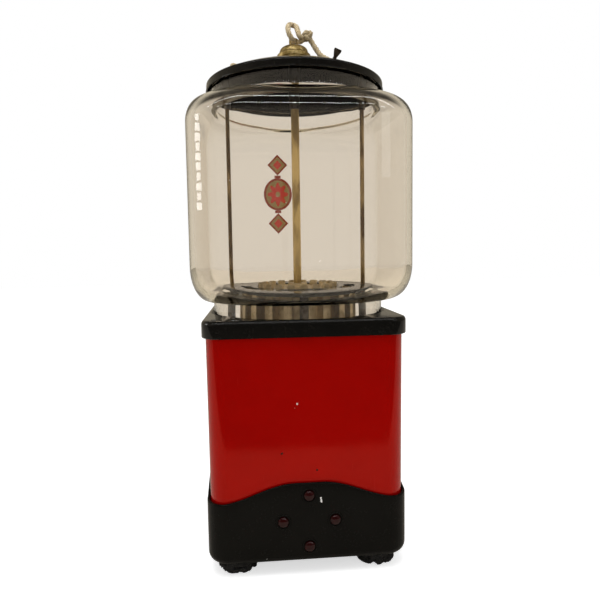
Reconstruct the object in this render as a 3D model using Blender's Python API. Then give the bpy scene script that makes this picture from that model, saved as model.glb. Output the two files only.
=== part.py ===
"""Counter-top gumball machine: a rounded square glass globe on a sheet-metal body with a turning dispenser.

Lengths are metres, +Z is up, the coin front faces -Y. Every piece is worked out about the machine's
vertical axis, and the empty that carries them all stands that axis where the whole part is centred.
"""

import math

import bmesh
import bpy
from mathutils import Matrix, Vector

MM = 0.001

# Clearances shared by all pieces
GAP = 0.3 * MM
OVERRUN = 4.0 * MM
BLEND = 0.6 * MM

# Numbers of steps along curves
CORNER_STEPS = 6
SIDE_STEPS = 2
ARCH_CORNER_STEPS = 4
ARCH_STEPS = 5
ROUND_STEPS = 32
SMALL_STEPS = 16
TINY_STEPS = 12
STEM_STEPS = 8
NUT_STEPS = 24
LID_STEPS = 36
CORD_SIDES_RESOLUTION = 2

# Feet
FOOT_HEIGHT = 9.7 * MM
FOOT_TOP_RADIUS = 13.0 * MM
FOOT_BOTTOM_RADIUS = 11.5 * MM
FOOT_EDGE = 1.6 * MM
FOOT_INSET = 22.1 * MM

# Base skirt: the black band round the foot of the body, with an arched upper edge on each face
BASE_CORNER = 15.0 * MM
BASE_WALL = 2.1 * MM
BASE_BOTTOM = FOOT_HEIGHT + GAP
BASE_CURL = 5.0 * MM
BASE_CURL_HEIGHT = 7.0 * MM
BASE_LIP = 9.0 * MM
ARCH_SIDE_TOP = 56.0 * MM
ARCH_RISE = 13.5 * MM
ARCH_END_INSET = 7.1 * MM
ARCH_BEND = 57.0 * MM

# Jewels set in a diamond on the back and on both sides of the base skirt
JEWEL_RADIUS = 3.9 * MM
JEWEL_STEM_RADIUS = 2.9 * MM
JEWEL_CROWN_RADIUS = 3.1 * MM
JEWEL_SHOULDER = 1.7 * MM
JEWEL_DOME = 2.4 * MM
JEWEL_CENTRE_Z = 41.4 * MM
JEWEL_SPREAD = 19.0 * MM

# Bottom pan and what clamps it to the centre rod
PAN_INSET = 7.7 * MM
PAN_CORNER = 10.0 * MM
PAN_THICKNESS = 1.5 * MM
ROD_NUT_ACROSS = 12.7 * MM
ROD_NUT_HEIGHT = 5.0 * MM

# Body shell
BODY_INSET = 2.7 * MM
BODY_LAP_ROOM = 0.5 * MM
BODY_FLARE = 0.6 * MM
BODY_CORNER = 13.8 * MM
BODY_WALL = 1.3 * MM

# Top plate
PLATE_RIM = 3.2 * MM
PLATE_CORNER = 15.5 * MM
PLATE_HEIGHT = 12.6 * MM
PLATE_TOP = 188.2 * MM
PLATE_EDGE_ROUND = 3.2 * MM
PLATE_DECK = 3.0 * MM
RECESS_ROOM = 2.4 * MM
RECESS_DEPTH = 2.7 * MM
WELL_ROOM = 0.8 * MM
RECESS_SLOPE = 0.8 * MM

# Globe
FOOT_GASKET_THICKNESS = 1.4 * MM
GLOBE_HALF = 83.0 * MM
GLOBE_FOOT_INSET = 13.8 * MM
GLOBE_NECK_INSET = 15.5 * MM
GLOBE_CORNER = 38.0 * MM
GLOBE_WALL = 4.0 * MM
GLOBE_LOWER_BEND = 34.0 * MM
GLOBE_LOWER_RISE = 39.8 * MM
GLOBE_UPPER_BEND = 23.0 * MM
GLOBE_NECK_RISE = 36.0 * MM
GLOBE_TOP = 365.0 * MM
GLOBE_BEND_ROWS = 4
GLOBE_RIM_ROUND = 1.2 * MM

# Lid
LID_OVERHANG = 3.1 * MM
LID_LAP = 1.2 * MM
LID_BAND = 4.5 * MM
LID_DOME_RISE = 16.1 * MM
LID_SHEET = 1.0 * MM
LID_EDGE_ROUND = 2.0 * MM
LID_BEAD = 0.9 * MM
LID_RINGS = 5
LID_HOLE_RADIUS = 3.6 * MM
MOUTH_GASKET_THICKNESS = 2.6 * MM

# Rods
ROD_RADIUS = 3.25 * MM
ROD_BOTTOM = 4.0 * MM
SIDE_ROD_RADIUS = 1.65 * MM
SIDE_ROD_SHARE = 55.0 / 69.2
SIDE_ROD_PAST = 1.0 * MM
SLEEVE_LENGTH_IN_NECK = 12.0 * MM
SLEEVE_WALL = 0.65 * MM
BOSS_WALL = 0.8 * MM

# Lock nut on top of the lid
NUT_HEIGHT = 15.5 * MM
NUT_FLANGE_RADIUS = 13.6 * MM
NUT_FLANGE_HEIGHT = 9.2 * MM
NUT_NECK_RADIUS = 12.4 * MM
NUT_CROWN_RADIUS = 11.6 * MM
NUT_CROWN_ROUND = 4.6 * MM
NUT_BORE_DEPTH = 9.0 * MM
STUD_RADIUS = 3.7 * MM
STUD_HEIGHT = 6.6 * MM
STUD_HOLE_HEIGHT = 3.3 * MM
STUD_HOLE_RADIUS = 2.45 * MM

# String tied through the stud, with a small dark clip on its tail
STRING_RADIUS = 2.1 * MM
STRING_LIFT = STRING_RADIUS + 2 * GAP
STRING_STEP = 4.2 * MM
KNOT_WIDTH_RADIUS = 4.8 * MM
KNOT_DEPTH_RADIUS = 4.2 * MM
KNOT_HEIGHT_RADIUS = 4.9 * MM
CLIP_COLLAR_RADIUS = 3.3 * MM
CLIP_COLLAR_LENGTH = 3.2 * MM
CLIP_TOP_HALF = 3.0 * MM
CLIP_FOOT_HALF = 1.4 * MM
CLIP_HEIGHT = 7.4 * MM
CLIP_THICKNESS = 1.6 * MM

# Hopper plate over the dispensing wheel
HOPPER_ROOM = 6.2 * MM
HOPPER_RISE = 17.6 * MM
HOPPER_THICKNESS = 1.4 * MM
HOPPER_HOLE_ROOM = 1.0 * MM
HOPPER_LIP = 1.5 * MM
POST_RADIUS = 3.2 * MM
POST_SHARE = 56.5 / 69.2
FEED_INNER_ROOM = 1.5 * MM
FEED_OUTER_ROOM = 0.5 * MM
FEED_ARC_HALF = math.radians(24)
FEED_ANGLES = (math.radians(20), math.radians(90), math.radians(160))

# Dispensing wheel
POCKETS = 20
WHEEL_SHARE = 48.0 / 69.2
WHEEL_WALL_SHARE = 37.0 / 48.0
CROWN_SHARE = 32.6 / 48.0
WHEEL_WEB = 3.0 * MM
WHEEL_HUB_RADIUS = 8.0 * MM
WHEEL_HUB_RISE = 2.8 * MM
FIN_SHARE = 0.42
CROWN_RISE = 3.5 * MM
CROWN_WALL = 3.4 * MM
CROWN_FIN_SHARE = 0.6
CROWN_BASE = 0.8 * MM
GAP_FACES = math.radians(85.3)

# Gears: one module for the whole train
DRIVE_TEETH = 12
IDLER_TEETH = 10
FACE_TEETH = 28
PRESSURE_ANGLE = math.radians(25)
ADDENDUM_SHARE = 0.8
DEDENDUM_SHARE = 1.1
TOOTH_SHARE = 0.42
GEAR_FACE = 4.0 * MM
FACE_GEAR_WALL_INSET = 3.5 * MM
FACE_GEAR_DROP = 6.5 * MM
GEAR_HUB_RADIUS = 6.2 * MM
IDLER_HUB_RADIUS = 4.6 * MM
FLANK_STEPS = 2

# Handle, shaft and coin wheel
SHAFT_RADIUS = 4.0 * MM
SHAFT_FRONT_SETBACK = 3.5 * MM
SHAFT_REAR_PAST = 1.4 * MM
COIN_WHEEL_RADIUS = 17.0 * MM
COIN_WHEEL_THICKNESS = 3.0 * MM
COIN_NOTCH_RADIUS = 9.8 * MM
COIN_WHEEL_SETBACK = 2.2 * MM
HANDLE_DEPTH = 15.0 * MM
HANDLE_HALF_SPAN = 22.0 * MM
HANDLE_BOSS_RADIUS = 10.5 * MM
HANDLE_NOSE_RADIUS = 7.6 * MM
HANDLE_WING_WAIST = 4.2 * MM
HANDLE_WING_TIP = 6.6 * MM
HANDLE_WING_DEPTH = 8.0 * MM
HANDLE_EDGE = 1.4 * MM
HANDLE_STANDOFF = 0.6 * MM

# Gear bracket and the idler's axle
BRACKET_SHEET = 2.0 * MM
BRACKET_BESIDE_WHEEL = 5.0 * MM
BRACKET_UNDER_WHEEL = 1.0 * MM
BRACKET_ABOVE_IDLER = 8.75 * MM
BRACKET_TO_GEAR = 4.1 * MM
AXLE_RADIUS = 2.0 * MM
AXLE_HEAD_RADIUS = 3.6 * MM
AXLE_HEAD = 1.6 * MM

# Coin front plate
FRONT_HALF = 27.0 * MM
FRONT_OVER_ARCH = 3.5 * MM
FRONT_UNDER_PLATE = 2.6 * MM
FRONT_CORNER = 9.0 * MM
FRONT_THICKNESS = 3.0 * MM
FRONT_EDGE = 0.9 * MM
DIAL_OUTER = 20.5 * MM
DIAL_INNER = 17.5 * MM
DIAL_HEIGHT = 1.4 * MM
SLOT_LENGTH = 22.5 * MM
SLOT_WIDTH = 2.3 * MM
SLOT_DROP = 8.0 * MM
SLOT_FRAME = 2.2 * MM
SLOT_FRAME_HEIGHT = 1.2 * MM
SCREW_INSET = 5.5 * MM
SCREW_RADIUS = 1.6 * MM
SCREW_HEAD_RADIUS = 3.2 * MM
SCREW_HEAD = 1.6 * MM
SCREW_LENGTH = 7.0 * MM

# Chute, flap and hinge pin
MOUTH_HALF = 14.0 * MM
MOUTH_RISE = 4.5 * MM
MOUTH_HEIGHT = 20.0 * MM
MOUTH_CORNER = 3.0 * MM
CHUTE_WALL = 1.0 * MM
OUTLET_RADIUS = 6.0 * MM
OUTLET_OFF_CENTRE = 0.5 * MM
OUTLET_POCKETS_ROUND = 8
CHUTE_BEND_RISE = 22.5 * MM
CHUTE_ROWS = 8
PIN_RADIUS = 1.1 * MM
PIN_OVER_MOUTH = 4.3 * MM
PIN_HEAD = 0.6 * MM
EAR_WIDTH = 3.4 * MM
EAR_HALF_HEIGHT = 3.0 * MM
KNUCKLE_RADIUS = 2.3 * MM
FLAP_SHEET = 1.2 * MM
FLAP_HALF = 15.0 * MM
FLAP_DROP = 26.0 * MM
FLAP_LIP_RADIUS = 1.5 * MM

# Widths that follow from the sizes above: the globe's foot sets the plate, body and base under it
GLOBE_FOOT_RADIUS = GLOBE_HALF - GLOBE_FOOT_INSET
GLOBE_NECK_RADIUS = GLOBE_HALF - GLOBE_NECK_INSET
LID_RADIUS = GLOBE_NECK_RADIUS + LID_OVERHANG
RECESS_RADIUS = GLOBE_FOOT_RADIUS + RECESS_ROOM
PLATE_HALF = RECESS_RADIUS + PLATE_RIM
BODY_HALF_TOP = PLATE_HALF - BODY_INSET
BODY_HALF_BOTTOM = BODY_HALF_TOP - BODY_FLARE
BASE_HALF = BODY_HALF_BOTTOM + BASE_WALL + BODY_LAP_ROOM
ARCH_END_HALF = BASE_HALF - ARCH_END_INSET
ARCH_FLAT_HALF = ARCH_END_HALF - ARCH_BEND
PAN_HALF = BASE_HALF - PAN_INSET
FOOT_OFFSET = BASE_HALF - FOOT_INSET
SIDE_ROD_OFFSET = GLOBE_FOOT_RADIUS * SIDE_ROD_SHARE
POST_OFFSET = GLOBE_FOOT_RADIUS * POST_SHARE
HOPPER_RADIUS = GLOBE_FOOT_RADIUS - HOPPER_ROOM
WHEEL_RADIUS = GLOBE_FOOT_RADIUS * WHEEL_SHARE
WHEEL_WALL_RADIUS = WHEEL_RADIUS * WHEEL_WALL_SHARE
CROWN_RADIUS = WHEEL_RADIUS * CROWN_SHARE
HOPPER_HOLE_RADIUS = CROWN_RADIUS + HOPPER_HOLE_ROOM
FEED_INNER_RADIUS = WHEEL_WALL_RADIUS + FEED_INNER_ROOM
FEED_OUTER_RADIUS = WHEEL_RADIUS - FEED_OUTER_ROOM
OUTLET_CENTRE_RADIUS = (WHEEL_WALL_RADIUS + WHEEL_RADIUS) / 2 + OUTLET_OFF_CENTRE
FACE_GEAR_OUTER = WHEEL_WALL_RADIUS - FACE_GEAR_WALL_INSET
FACE_GEAR_INNER = FACE_GEAR_OUTER - GEAR_FACE
WHEEL_INNER_RADIUS = FACE_GEAR_INNER
WELL_RADIUS = FACE_GEAR_OUTER + WELL_ROOM
GEAR_MODULE = (FACE_GEAR_INNER + FACE_GEAR_OUTER) / FACE_TEETH

# Heights and depths that follow from the sizes above
PLATE_LOWER_EDGE = PLATE_TOP - PLATE_HEIGHT
HOPPER_TOP = PLATE_TOP + HOPPER_RISE
WHEEL_HUB_TOP = HOPPER_TOP + WHEEL_HUB_RISE
CROWN_TOP = HOPPER_TOP + CROWN_RISE
GLOBE_LOWER_BEND_TOP = PLATE_TOP + GLOBE_LOWER_RISE
GLOBE_UPPER_BEND_START = GLOBE_TOP - GLOBE_NECK_RISE
LID_RIM_Z = GLOBE_TOP - LID_LAP
SIDE_ROD_TOP = GLOBE_TOP + SIDE_ROD_PAST
SLEEVE_BOTTOM = GLOBE_TOP - SLEEVE_LENGTH_IN_NECK
FRONT_TOP = PLATE_LOWER_EDGE - FRONT_UNDER_PLATE
FRONT_BOTTOM = ARCH_SIDE_TOP + ARCH_RISE + FRONT_OVER_ARCH
MOUTH_BOTTOM = FRONT_BOTTOM + MOUTH_RISE
MOUTH_TOP = MOUTH_BOTTOM + MOUTH_HEIGHT
PIN_Z = MOUTH_TOP + PIN_OVER_MOUTH
CHUTE_STRAIGHT_BOTTOM = MOUTH_TOP + CHUTE_BEND_RISE
PAN_BOTTOM = BASE_BOTTOM + BASE_WALL + GAP
PAN_TOP = PAN_BOTTOM + PAN_THICKNESS
BODY_BOTTOM = BASE_BOTTOM + BASE_CURL_HEIGHT + GAP
DECK_TOP = PLATE_TOP - RECESS_DEPTH
DECK_BOTTOM = DECK_TOP - PLATE_DECK
BODY_TOP = DECK_BOTTOM - GAP
FOOT_GASKET_BOTTOM = DECK_TOP + GAP
GLOBE_BOTTOM = FOOT_GASKET_BOTTOM + FOOT_GASKET_THICKNESS + GAP
MOUTH_GASKET_BOTTOM = GLOBE_TOP + GAP
LID_DOME_BASE = LID_RIM_Z + LID_BAND
LID_DOME_RADIUS = (LID_RADIUS ** 2 + LID_DOME_RISE ** 2) / (2 * LID_DOME_RISE)
LID_APEX = LID_DOME_BASE + LID_DOME_RISE
NUT_BOTTOM = LID_APEX + GAP
NUT_TOP = NUT_BOTTOM + NUT_HEIGHT
ROD_TOP = NUT_BOTTOM + NUT_BORE_DEPTH - 2 * GAP
HOPPER_BOTTOM = HOPPER_TOP - HOPPER_THICKNESS
WHEEL_BOTTOM = DECK_TOP + GAP
WHEEL_TOP = HOPPER_BOTTOM - 2 * GAP
WHEEL_WEB_BOTTOM = WHEEL_TOP - WHEEL_WEB
DRIVE_PITCH = GEAR_MODULE * DRIVE_TEETH / 2
IDLER_PITCH = GEAR_MODULE * IDLER_TEETH / 2
FACE_PITCH = GEAR_MODULE * FACE_TEETH / 2
ADDENDUM = ADDENDUM_SHARE * GEAR_MODULE
DEDENDUM = DEDENDUM_SHARE * GEAR_MODULE
FACE_PITCH_Z = DECK_BOTTOM - FACE_GEAR_DROP
IDLER_Z = FACE_PITCH_Z - IDLER_PITCH
SHAFT_Z = IDLER_Z - IDLER_PITCH - DRIVE_PITCH
BRACKET_BOTTOM = SHAFT_Z - COIN_WHEEL_RADIUS - BRACKET_UNDER_WHEEL - BRACKET_SHEET
BRACKET_LEFT = -COIN_WHEEL_RADIUS - BRACKET_BESIDE_WHEEL
BRACKET_TOP = IDLER_Z + BRACKET_ABOVE_IDLER
GEAR_Y = -FACE_PITCH
GEAR_FRONT = GEAR_Y - GEAR_FACE / 2
GEAR_REAR = GEAR_Y + GEAR_FACE / 2
BRACKET_REAR = GEAR_FRONT - BRACKET_TO_GEAR
BRACKET_FRONT = BRACKET_REAR - BRACKET_SHEET
WALL_INSIDE = -(BODY_HALF_BOTTOM - BODY_WALL)
FRONT_BACK_Y = -(BODY_HALF_TOP + GAP)
FRONT_FACE_Y = FRONT_BACK_Y - FRONT_THICKNESS
DIAL_FACE_Y = FRONT_FACE_Y - DIAL_HEIGHT
HANDLE_BACK_Y = DIAL_FACE_Y - HANDLE_STANDOFF
HANDLE_FRONT_Y = HANDLE_BACK_Y - HANDLE_DEPTH
SHAFT_FRONT_Y = HANDLE_FRONT_Y + SHAFT_FRONT_SETBACK
SHAFT_REAR_Y = GEAR_REAR + SHAFT_REAR_PAST
PIN_Y = FRONT_FACE_Y - GAP - KNUCKLE_RADIUS
AXIS_Y = (-HANDLE_FRONT_Y - GLOBE_HALF) / 2
RUNNING_SHAFT_BORE = SHAFT_RADIUS + GAP
OUTLET_ANGLE = GAP_FACES - 2 * math.pi / POCKETS * OUTLET_POCKETS_ROUND
OUTLET_X = OUTLET_CENTRE_RADIUS * math.cos(OUTLET_ANGLE)
OUTLET_Y = OUTLET_CENTRE_RADIUS * math.sin(OUTLET_ANGLE)
BRACKET_RIGHT = OUTLET_X - OUTLET_RADIUS - CHUTE_WALL - GAP

# Routes of the string, about the machine's axis, heights from the top of the nut; the points of the
# stretches that lie on the lid give x, y and how far they are raised over the dome
LOOP_ROUTE = [
    (0.3, 0.6, 3.3), (0.5, 5.0, 3.4), (2.8, 7.9, 5.2), (4.6, 8.0, 9.2), (4.6, 4.4, 14.4),
    (2.8, -1.2, 18.2), (0.0, -3.4, 18.9), (-2.4, -1.4, 17.0), (-2.8, 2.8, 13.2),
    (-3.3, 5.6, 10.2), (-3.4, 7.2, 8.4),
]
KNOT_CENTRE = (-10.6, 7.6, 6.4)
TAIL_FALL_ROUTE = [
    (-15.0, 7.9, -0.4), (-16.8, 8.5, -3.4), (-18.8, 9.4, -6.8), (-21.2, 10.4, -9.8),
]
TAIL_LID_ROUTE = [(-26.2, 11.8, 2.6), (-30.6, 12.2, 1.5), (-36.5, 11.2, 0.2), (-42.5, 9.0, 0)]
END_FALL_ROUTE = [
    (-0.3, -0.6, 3.3), (0.6, -5.6, 3.2), (2.6, -10.6, 1.0), (5.0, -14.6, -4.0), (8.0, -18.0, -9.6),
]
END_LID_ROUTE = [
    (12.4, -20.6, 0), (19.0, -20.4, 0), (26.4, -16.6, 0), (33.2, -9.4, 0), (39.4, 1.0, 0),
    (44.6, 12.0, 0), (49.2, 23.0, 0),
]
CLIP_AT_SHARE = 0.62

# Colours of the finishes, as linear values, with roughness and metal share
FINISHES = {
    "black_paint": ((0.012, 0.010, 0.009), 0.25, 0.0),
    "red_paint": ((0.45, 0.005, 0.004), 0.28, 0.0),
    "clear_glass": ((0.86, 0.83, 0.78), 0.03, 0.0),
    "old_brass": ((0.42, 0.32, 0.17), 0.38, 1.0),
    "dark_steel": ((0.06, 0.055, 0.05), 0.45, 1.0),
    "cast_metal": ((0.66, 0.62, 0.55), 0.42, 1.0),
    "bright_plating": ((0.72, 0.71, 0.69), 0.18, 1.0),
    "black_rubber": ((0.02, 0.018, 0.016), 0.85, 0.0),
    "red_jewel": ((0.22, 0.004, 0.006), 0.08, 0.0),
    "cotton": ((0.68, 0.60, 0.46), 0.95, 0.0),
}


def clear_scene():
    """Remove whatever the scene holds before the part is made."""
    for obj in list(bpy.data.objects):
        bpy.data.objects.remove(obj)


def finish(name):
    """Return the finish of that name as a material, made once."""
    made = bpy.data.materials.get(name)
    if made:
        return made
    colour, roughness, metallic = FINISHES[name]
    made = bpy.data.materials.new(name)
    made.use_nodes = True
    shader = made.node_tree.nodes["Principled BSDF"]
    shader.inputs["Base Color"].default_value = (*colour, 1.0)
    shader.inputs["Roughness"].default_value = roughness
    shader.inputs["Metallic"].default_value = metallic
    return made


def place(name, bm, finish_name, parent, at=(0, 0, 0)):
    """Turn a bmesh into a named object under its parent, at a place given from the parent."""
    bmesh.ops.recalc_face_normals(bm, faces=bm.faces)
    mesh = bpy.data.meshes.new(name)
    bm.to_mesh(mesh)
    bm.free()
    mesh.shade_smooth()
    mesh.set_sharp_from_angle(angle=math.radians(32))
    return place_data(name, mesh, finish_name, parent, at)


def place_data(name, data, finish_name, parent, at=(0, 0, 0)):
    """Link mesh or curve data as a named object with its finish."""
    obj = bpy.data.objects.new(name, data)
    bpy.context.scene.collection.objects.link(obj)
    if not data.materials:
        data.materials.append(finish(finish_name))
    obj.parent = parent
    obj.location = at
    return obj


def cutter(name, bm, parent, at=(0, 0, 0)):
    """Make a helper solid that cuts or joins another, and isn't a piece itself."""
    obj = place(name, bm, "dark_steel", parent, at)
    obj.hide_render = True
    obj.display_type = "WIRE"
    return obj


def combine(obj, other, operation):
    """Join or cut an object with a helper solid, exactly."""
    modifier = obj.modifiers.new(f"{operation.lower()}_{other.name}", "BOOLEAN")
    modifier.operation = operation
    modifier.solver = "EXACT"
    modifier.object = other


def pivot(name, parent, at):
    """Stand an empty on a joint's axis."""
    obj = bpy.data.objects.new(name, None)
    bpy.context.scene.collection.objects.link(obj)
    obj.parent = parent
    obj.location = at
    return obj


def square_distance(half, corner, angle):
    """Distance from the centre of a rounded square to its edge, in a direction."""
    c, s = abs(math.cos(angle)), abs(math.sin(angle))
    flat = half - corner
    if half * s <= flat * c:
        return half / c
    if half * c <= flat * s:
        return half / s
    along = flat * (c + s)
    return along + math.sqrt(max(along * along - 2 * flat * flat + corner * corner, 0.0))


def square_angles(half, corner, corner_steps=CORNER_STEPS, side_steps=SIDE_STEPS):
    """Directions that follow a rounded square: even steps round its corners and along its sides."""
    flat = half - corner
    angles = []
    for quarter in range(4):
        turn = quarter * math.pi / 2
        for i in range(corner_steps):
            a = math.pi / 2 * i / corner_steps
            angles.append(turn + math.atan2(flat + corner * math.sin(a), flat + corner * math.cos(a)))
        for i in range(side_steps * 2):
            x = flat - 2 * flat * i / (side_steps * 2)
            angles.append(turn + math.atan2(half, x))
    return angles


def square_loop(half, corner, z, angles):
    """A rounded square at a height, as points in the given directions."""
    return [
        Vector((d * math.cos(a), d * math.sin(a), z))
        for a in angles
        for d in (square_distance(half, corner, a),)
    ]


def round_loop(radius, z, angles):
    """A circle at a height, as points in the given directions."""
    return [Vector((radius * math.cos(a), radius * math.sin(a), z)) for a in angles]


def even_angles(steps, start=0.0):
    """Directions evenly round a circle."""
    return [start + 2 * math.pi * i / steps for i in range(steps)]


def loft(loops, ring):
    """Skin a row of loops. A ring joins the last loop to the first; otherwise both ends get a face."""
    bm = bmesh.new()
    rows = [[bm.verts.new(p) for p in loop] for loop in loops]
    pairs = list(zip(rows, rows[1:]))
    if ring:
        pairs.append((rows[-1], rows[0]))
    for low, high in pairs:
        for i in range(len(low)):
            j = (i + 1) % len(low)
            bm.faces.new((low[i], low[j], high[j], high[i]))
    if not ring:
        bm.faces.new(list(reversed(rows[0])))
        bm.faces.new(rows[-1])
    return bm


def turned(profile, steps=ROUND_STEPS):
    """Spin a closed outline of (radius, height) points about Z. Points on the axis close the form."""
    bm = bmesh.new()
    verts = [bm.verts.new((r, 0, z)) for r, z in profile]
    edges = []
    for a, b in zip(verts, verts[1:] + verts[:1]):
        if a.co.x > 0 or b.co.x > 0:
            edges.append(bm.edges.new((a, b)))
    bmesh.ops.spin(
        bm, geom=verts + edges, axis=(0, 0, 1), cent=(0, 0, 0), angle=2 * math.pi,
        steps=steps, use_merge=True,
    )
    bmesh.ops.remove_doubles(bm, verts=bm.verts, dist=0.01 * MM)
    return bm


def facing_front(bm):
    """Turn a form made about Z so that its axis runs along Y, its top to the front."""
    bmesh.ops.transform(bm, matrix=Matrix.Rotation(math.pi / 2, 4, "X"), verts=bm.verts)
    return bm


def extruded(outline, z_low, z_high):
    """Extrude a flat outline of (x, y) points between two heights."""
    return loft([[Vector((x, y, z)) for x, y in outline] for z in (z_low, z_high)], ring=False)


def block(low, high):
    """A rectangular block between two corners."""
    (x0, y0, z0), (x1, y1, z1) = low, high
    return extruded([(x0, y0), (x1, y0), (x1, y1), (x0, y1)], z0, z1)


def cylinder(radius, z_low, z_high, steps=SMALL_STEPS):
    """A plain round bar along Z."""
    return turned([(0, z_low), (radius, z_low), (radius, z_high), (0, z_high)], steps)


def tube(inner, outer, z_low, z_high, steps=SMALL_STEPS):
    """A round tube along Z."""
    return turned([(inner, z_low), (outer, z_low), (outer, z_high), (inner, z_high)], steps)


def rounded_rectangle(half_x, half_y, corner, steps=3):
    """Outline of a rectangle with round corners."""
    points = []
    for quarter, (sx, sy) in enumerate(((1, 1), (-1, 1), (-1, -1), (1, -1))):
        for i in range(steps + 1):
            a = quarter * math.pi / 2 + math.pi / 2 * i / steps
            points.append((
                sx * (half_x - corner) + corner * math.cos(a),
                sy * (half_y - corner) + corner * math.sin(a),
            ))
    return points


def bevelled(bm, width, faces_towards=None):
    """Round the edges of a form's flat faces, or only of those that face one way."""
    edges = {
        edge
        for face in bm.faces
        if faces_towards is None or face.normal.dot(Vector(faces_towards)) > 0.9
        for edge in face.edges
    }
    bmesh.ops.bevel(bm, geom=list(edges), offset=width, segments=2, profile=0.5, affect="EDGES")
    return bm


def make_feet(root):
    """Four rubber feet under the corners."""
    profile = [
        (0, 0), (FOOT_BOTTOM_RADIUS - FOOT_EDGE, 0), (FOOT_BOTTOM_RADIUS, FOOT_EDGE),
        (FOOT_TOP_RADIUS, FOOT_HEIGHT - FOOT_EDGE), (FOOT_TOP_RADIUS - FOOT_EDGE, FOOT_HEIGHT),
        (0, FOOT_HEIGHT),
    ]
    corners = (("front_left", -1, -1), ("front_right", 1, -1), ("back_left", -1, 1), ("back_right", 1, 1))
    for where, sx, sy in corners:
        at = (sx * FOOT_OFFSET, sy * FOOT_OFFSET, 0)
        place(f"foot_{where}", turned(profile, SMALL_STEPS), "black_rubber", root, at)


def arch_height(along):
    """Height of the base skirt's upper edge at a distance from the middle of a face."""
    t = (abs(along) - ARCH_FLAT_HALF) / (ARCH_END_HALF - ARCH_FLAT_HALF)
    t = min(max(t, 0.0), 1.0)
    return ARCH_SIDE_TOP + ARCH_RISE * (0.5 + 0.5 * math.cos(math.pi * t))


def jewel_places():
    """Each jewel's name, its face's turn about Z, and its place across and up that face."""
    faces = (("back", math.pi / 2), ("left", math.pi), ("right", 0.0))
    spots = (("top", 0, 1), ("bottom", 0, -1), ("near", -1, 0), ("far", 1, 0))
    for face, turn in faces:
        for spot, across, up in spots:
            yield f"jewel_{face}_{spot}", turn, across * JEWEL_SPREAD, JEWEL_CENTRE_Z + up * JEWEL_SPREAD


def on_face(turn, across, z, out):
    """A point on one of the base skirt's faces: across it, up it and out from the axis."""
    return (
        out * math.cos(turn) - across * math.sin(turn),
        out * math.sin(turn) + across * math.cos(turn),
        z,
    )


def make_base(root):
    """The arched base skirt, curled in at the bottom, with holes for the jewels' stems."""
    angles = square_angles(BASE_HALF, BASE_CORNER, ARCH_CORNER_STEPS, ARCH_STEPS)
    inner_half = BASE_HALF - BASE_WALL
    inner_corner = BASE_CORNER - BASE_WALL

    def curl(half, corner, inward):
        """Rows of the curled bottom edge, from the lip out and up to the straight wall."""
        rows = []
        for i in range(3):
            a = math.pi / 2 * i / 2
            drop = BASE_CURL * (1 - math.sin(a))
            z = BASE_BOTTOM + BASE_CURL_HEIGHT * (1 - math.cos(a)) + inward * math.cos(a)
            rows.append(square_loop(half - drop, corner - drop / 2, z, angles))
        return rows

    def arched(half, corner):
        """The upper edge of a wall: it follows the arch along each face."""
        loop = square_loop(half, corner, 0, angles)
        for p in loop:
            p.z = arch_height(min(abs(p.x), abs(p.y)))
        return loop

    lip_half = BASE_HALF - BASE_CURL - BASE_LIP
    lip_corner = BASE_CORNER - BASE_CURL
    outer = curl(BASE_HALF, BASE_CORNER, 0)
    inner = curl(inner_half, inner_corner, BASE_WALL)
    loops = [square_loop(lip_half, lip_corner, BASE_BOTTOM, angles)] + outer
    loops += [arched(BASE_HALF, BASE_CORNER), arched(inner_half, inner_corner)]
    loops += list(reversed(inner)) + [square_loop(lip_half, lip_corner, BASE_BOTTOM + BASE_WALL, angles)]
    skirt = place("base_skirt", loft(loops, ring=True), "black_paint", root)

    holes = bmesh.new()
    for _, turn, across, z in jewel_places():
        bar = cylinder(JEWEL_STEM_RADIUS + GAP, -BASE_WALL - OVERRUN / 2, OVERRUN / 2, STEM_STEPS)
        put = (
            Matrix.Translation(on_face(turn, across, z, BASE_HALF))
            @ Matrix.Rotation(turn, 4, "Z")
            @ Matrix.Rotation(math.pi / 2, 4, "Y")
        )
        bmesh.ops.transform(bar, matrix=put, verts=bar.verts)
        mesh = bpy.data.meshes.new("hole")
        bar.to_mesh(mesh)
        bar.free()
        holes.from_mesh(mesh)
        bpy.data.meshes.remove(mesh)
    combine(skirt, cutter("jewel_holes", holes, root), "DIFFERENCE")


def make_jewels(root):
    """Red domed jewels, each with a stem through the skirt."""
    stem_end = -(BASE_WALL - GAP)
    profile = [
        (0, stem_end), (JEWEL_STEM_RADIUS, stem_end), (JEWEL_STEM_RADIUS, GAP), (JEWEL_RADIUS, GAP),
        (JEWEL_CROWN_RADIUS, GAP + JEWEL_SHOULDER), (0, GAP + JEWEL_DOME),
    ]
    for name, turn, across, z in jewel_places():
        jewel = place(
            name, turned(profile, STEM_STEPS), "red_jewel", root, on_face(turn, across, z, BASE_HALF)
        )
        jewel.rotation_euler = (0, math.pi / 2, turn)


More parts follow.
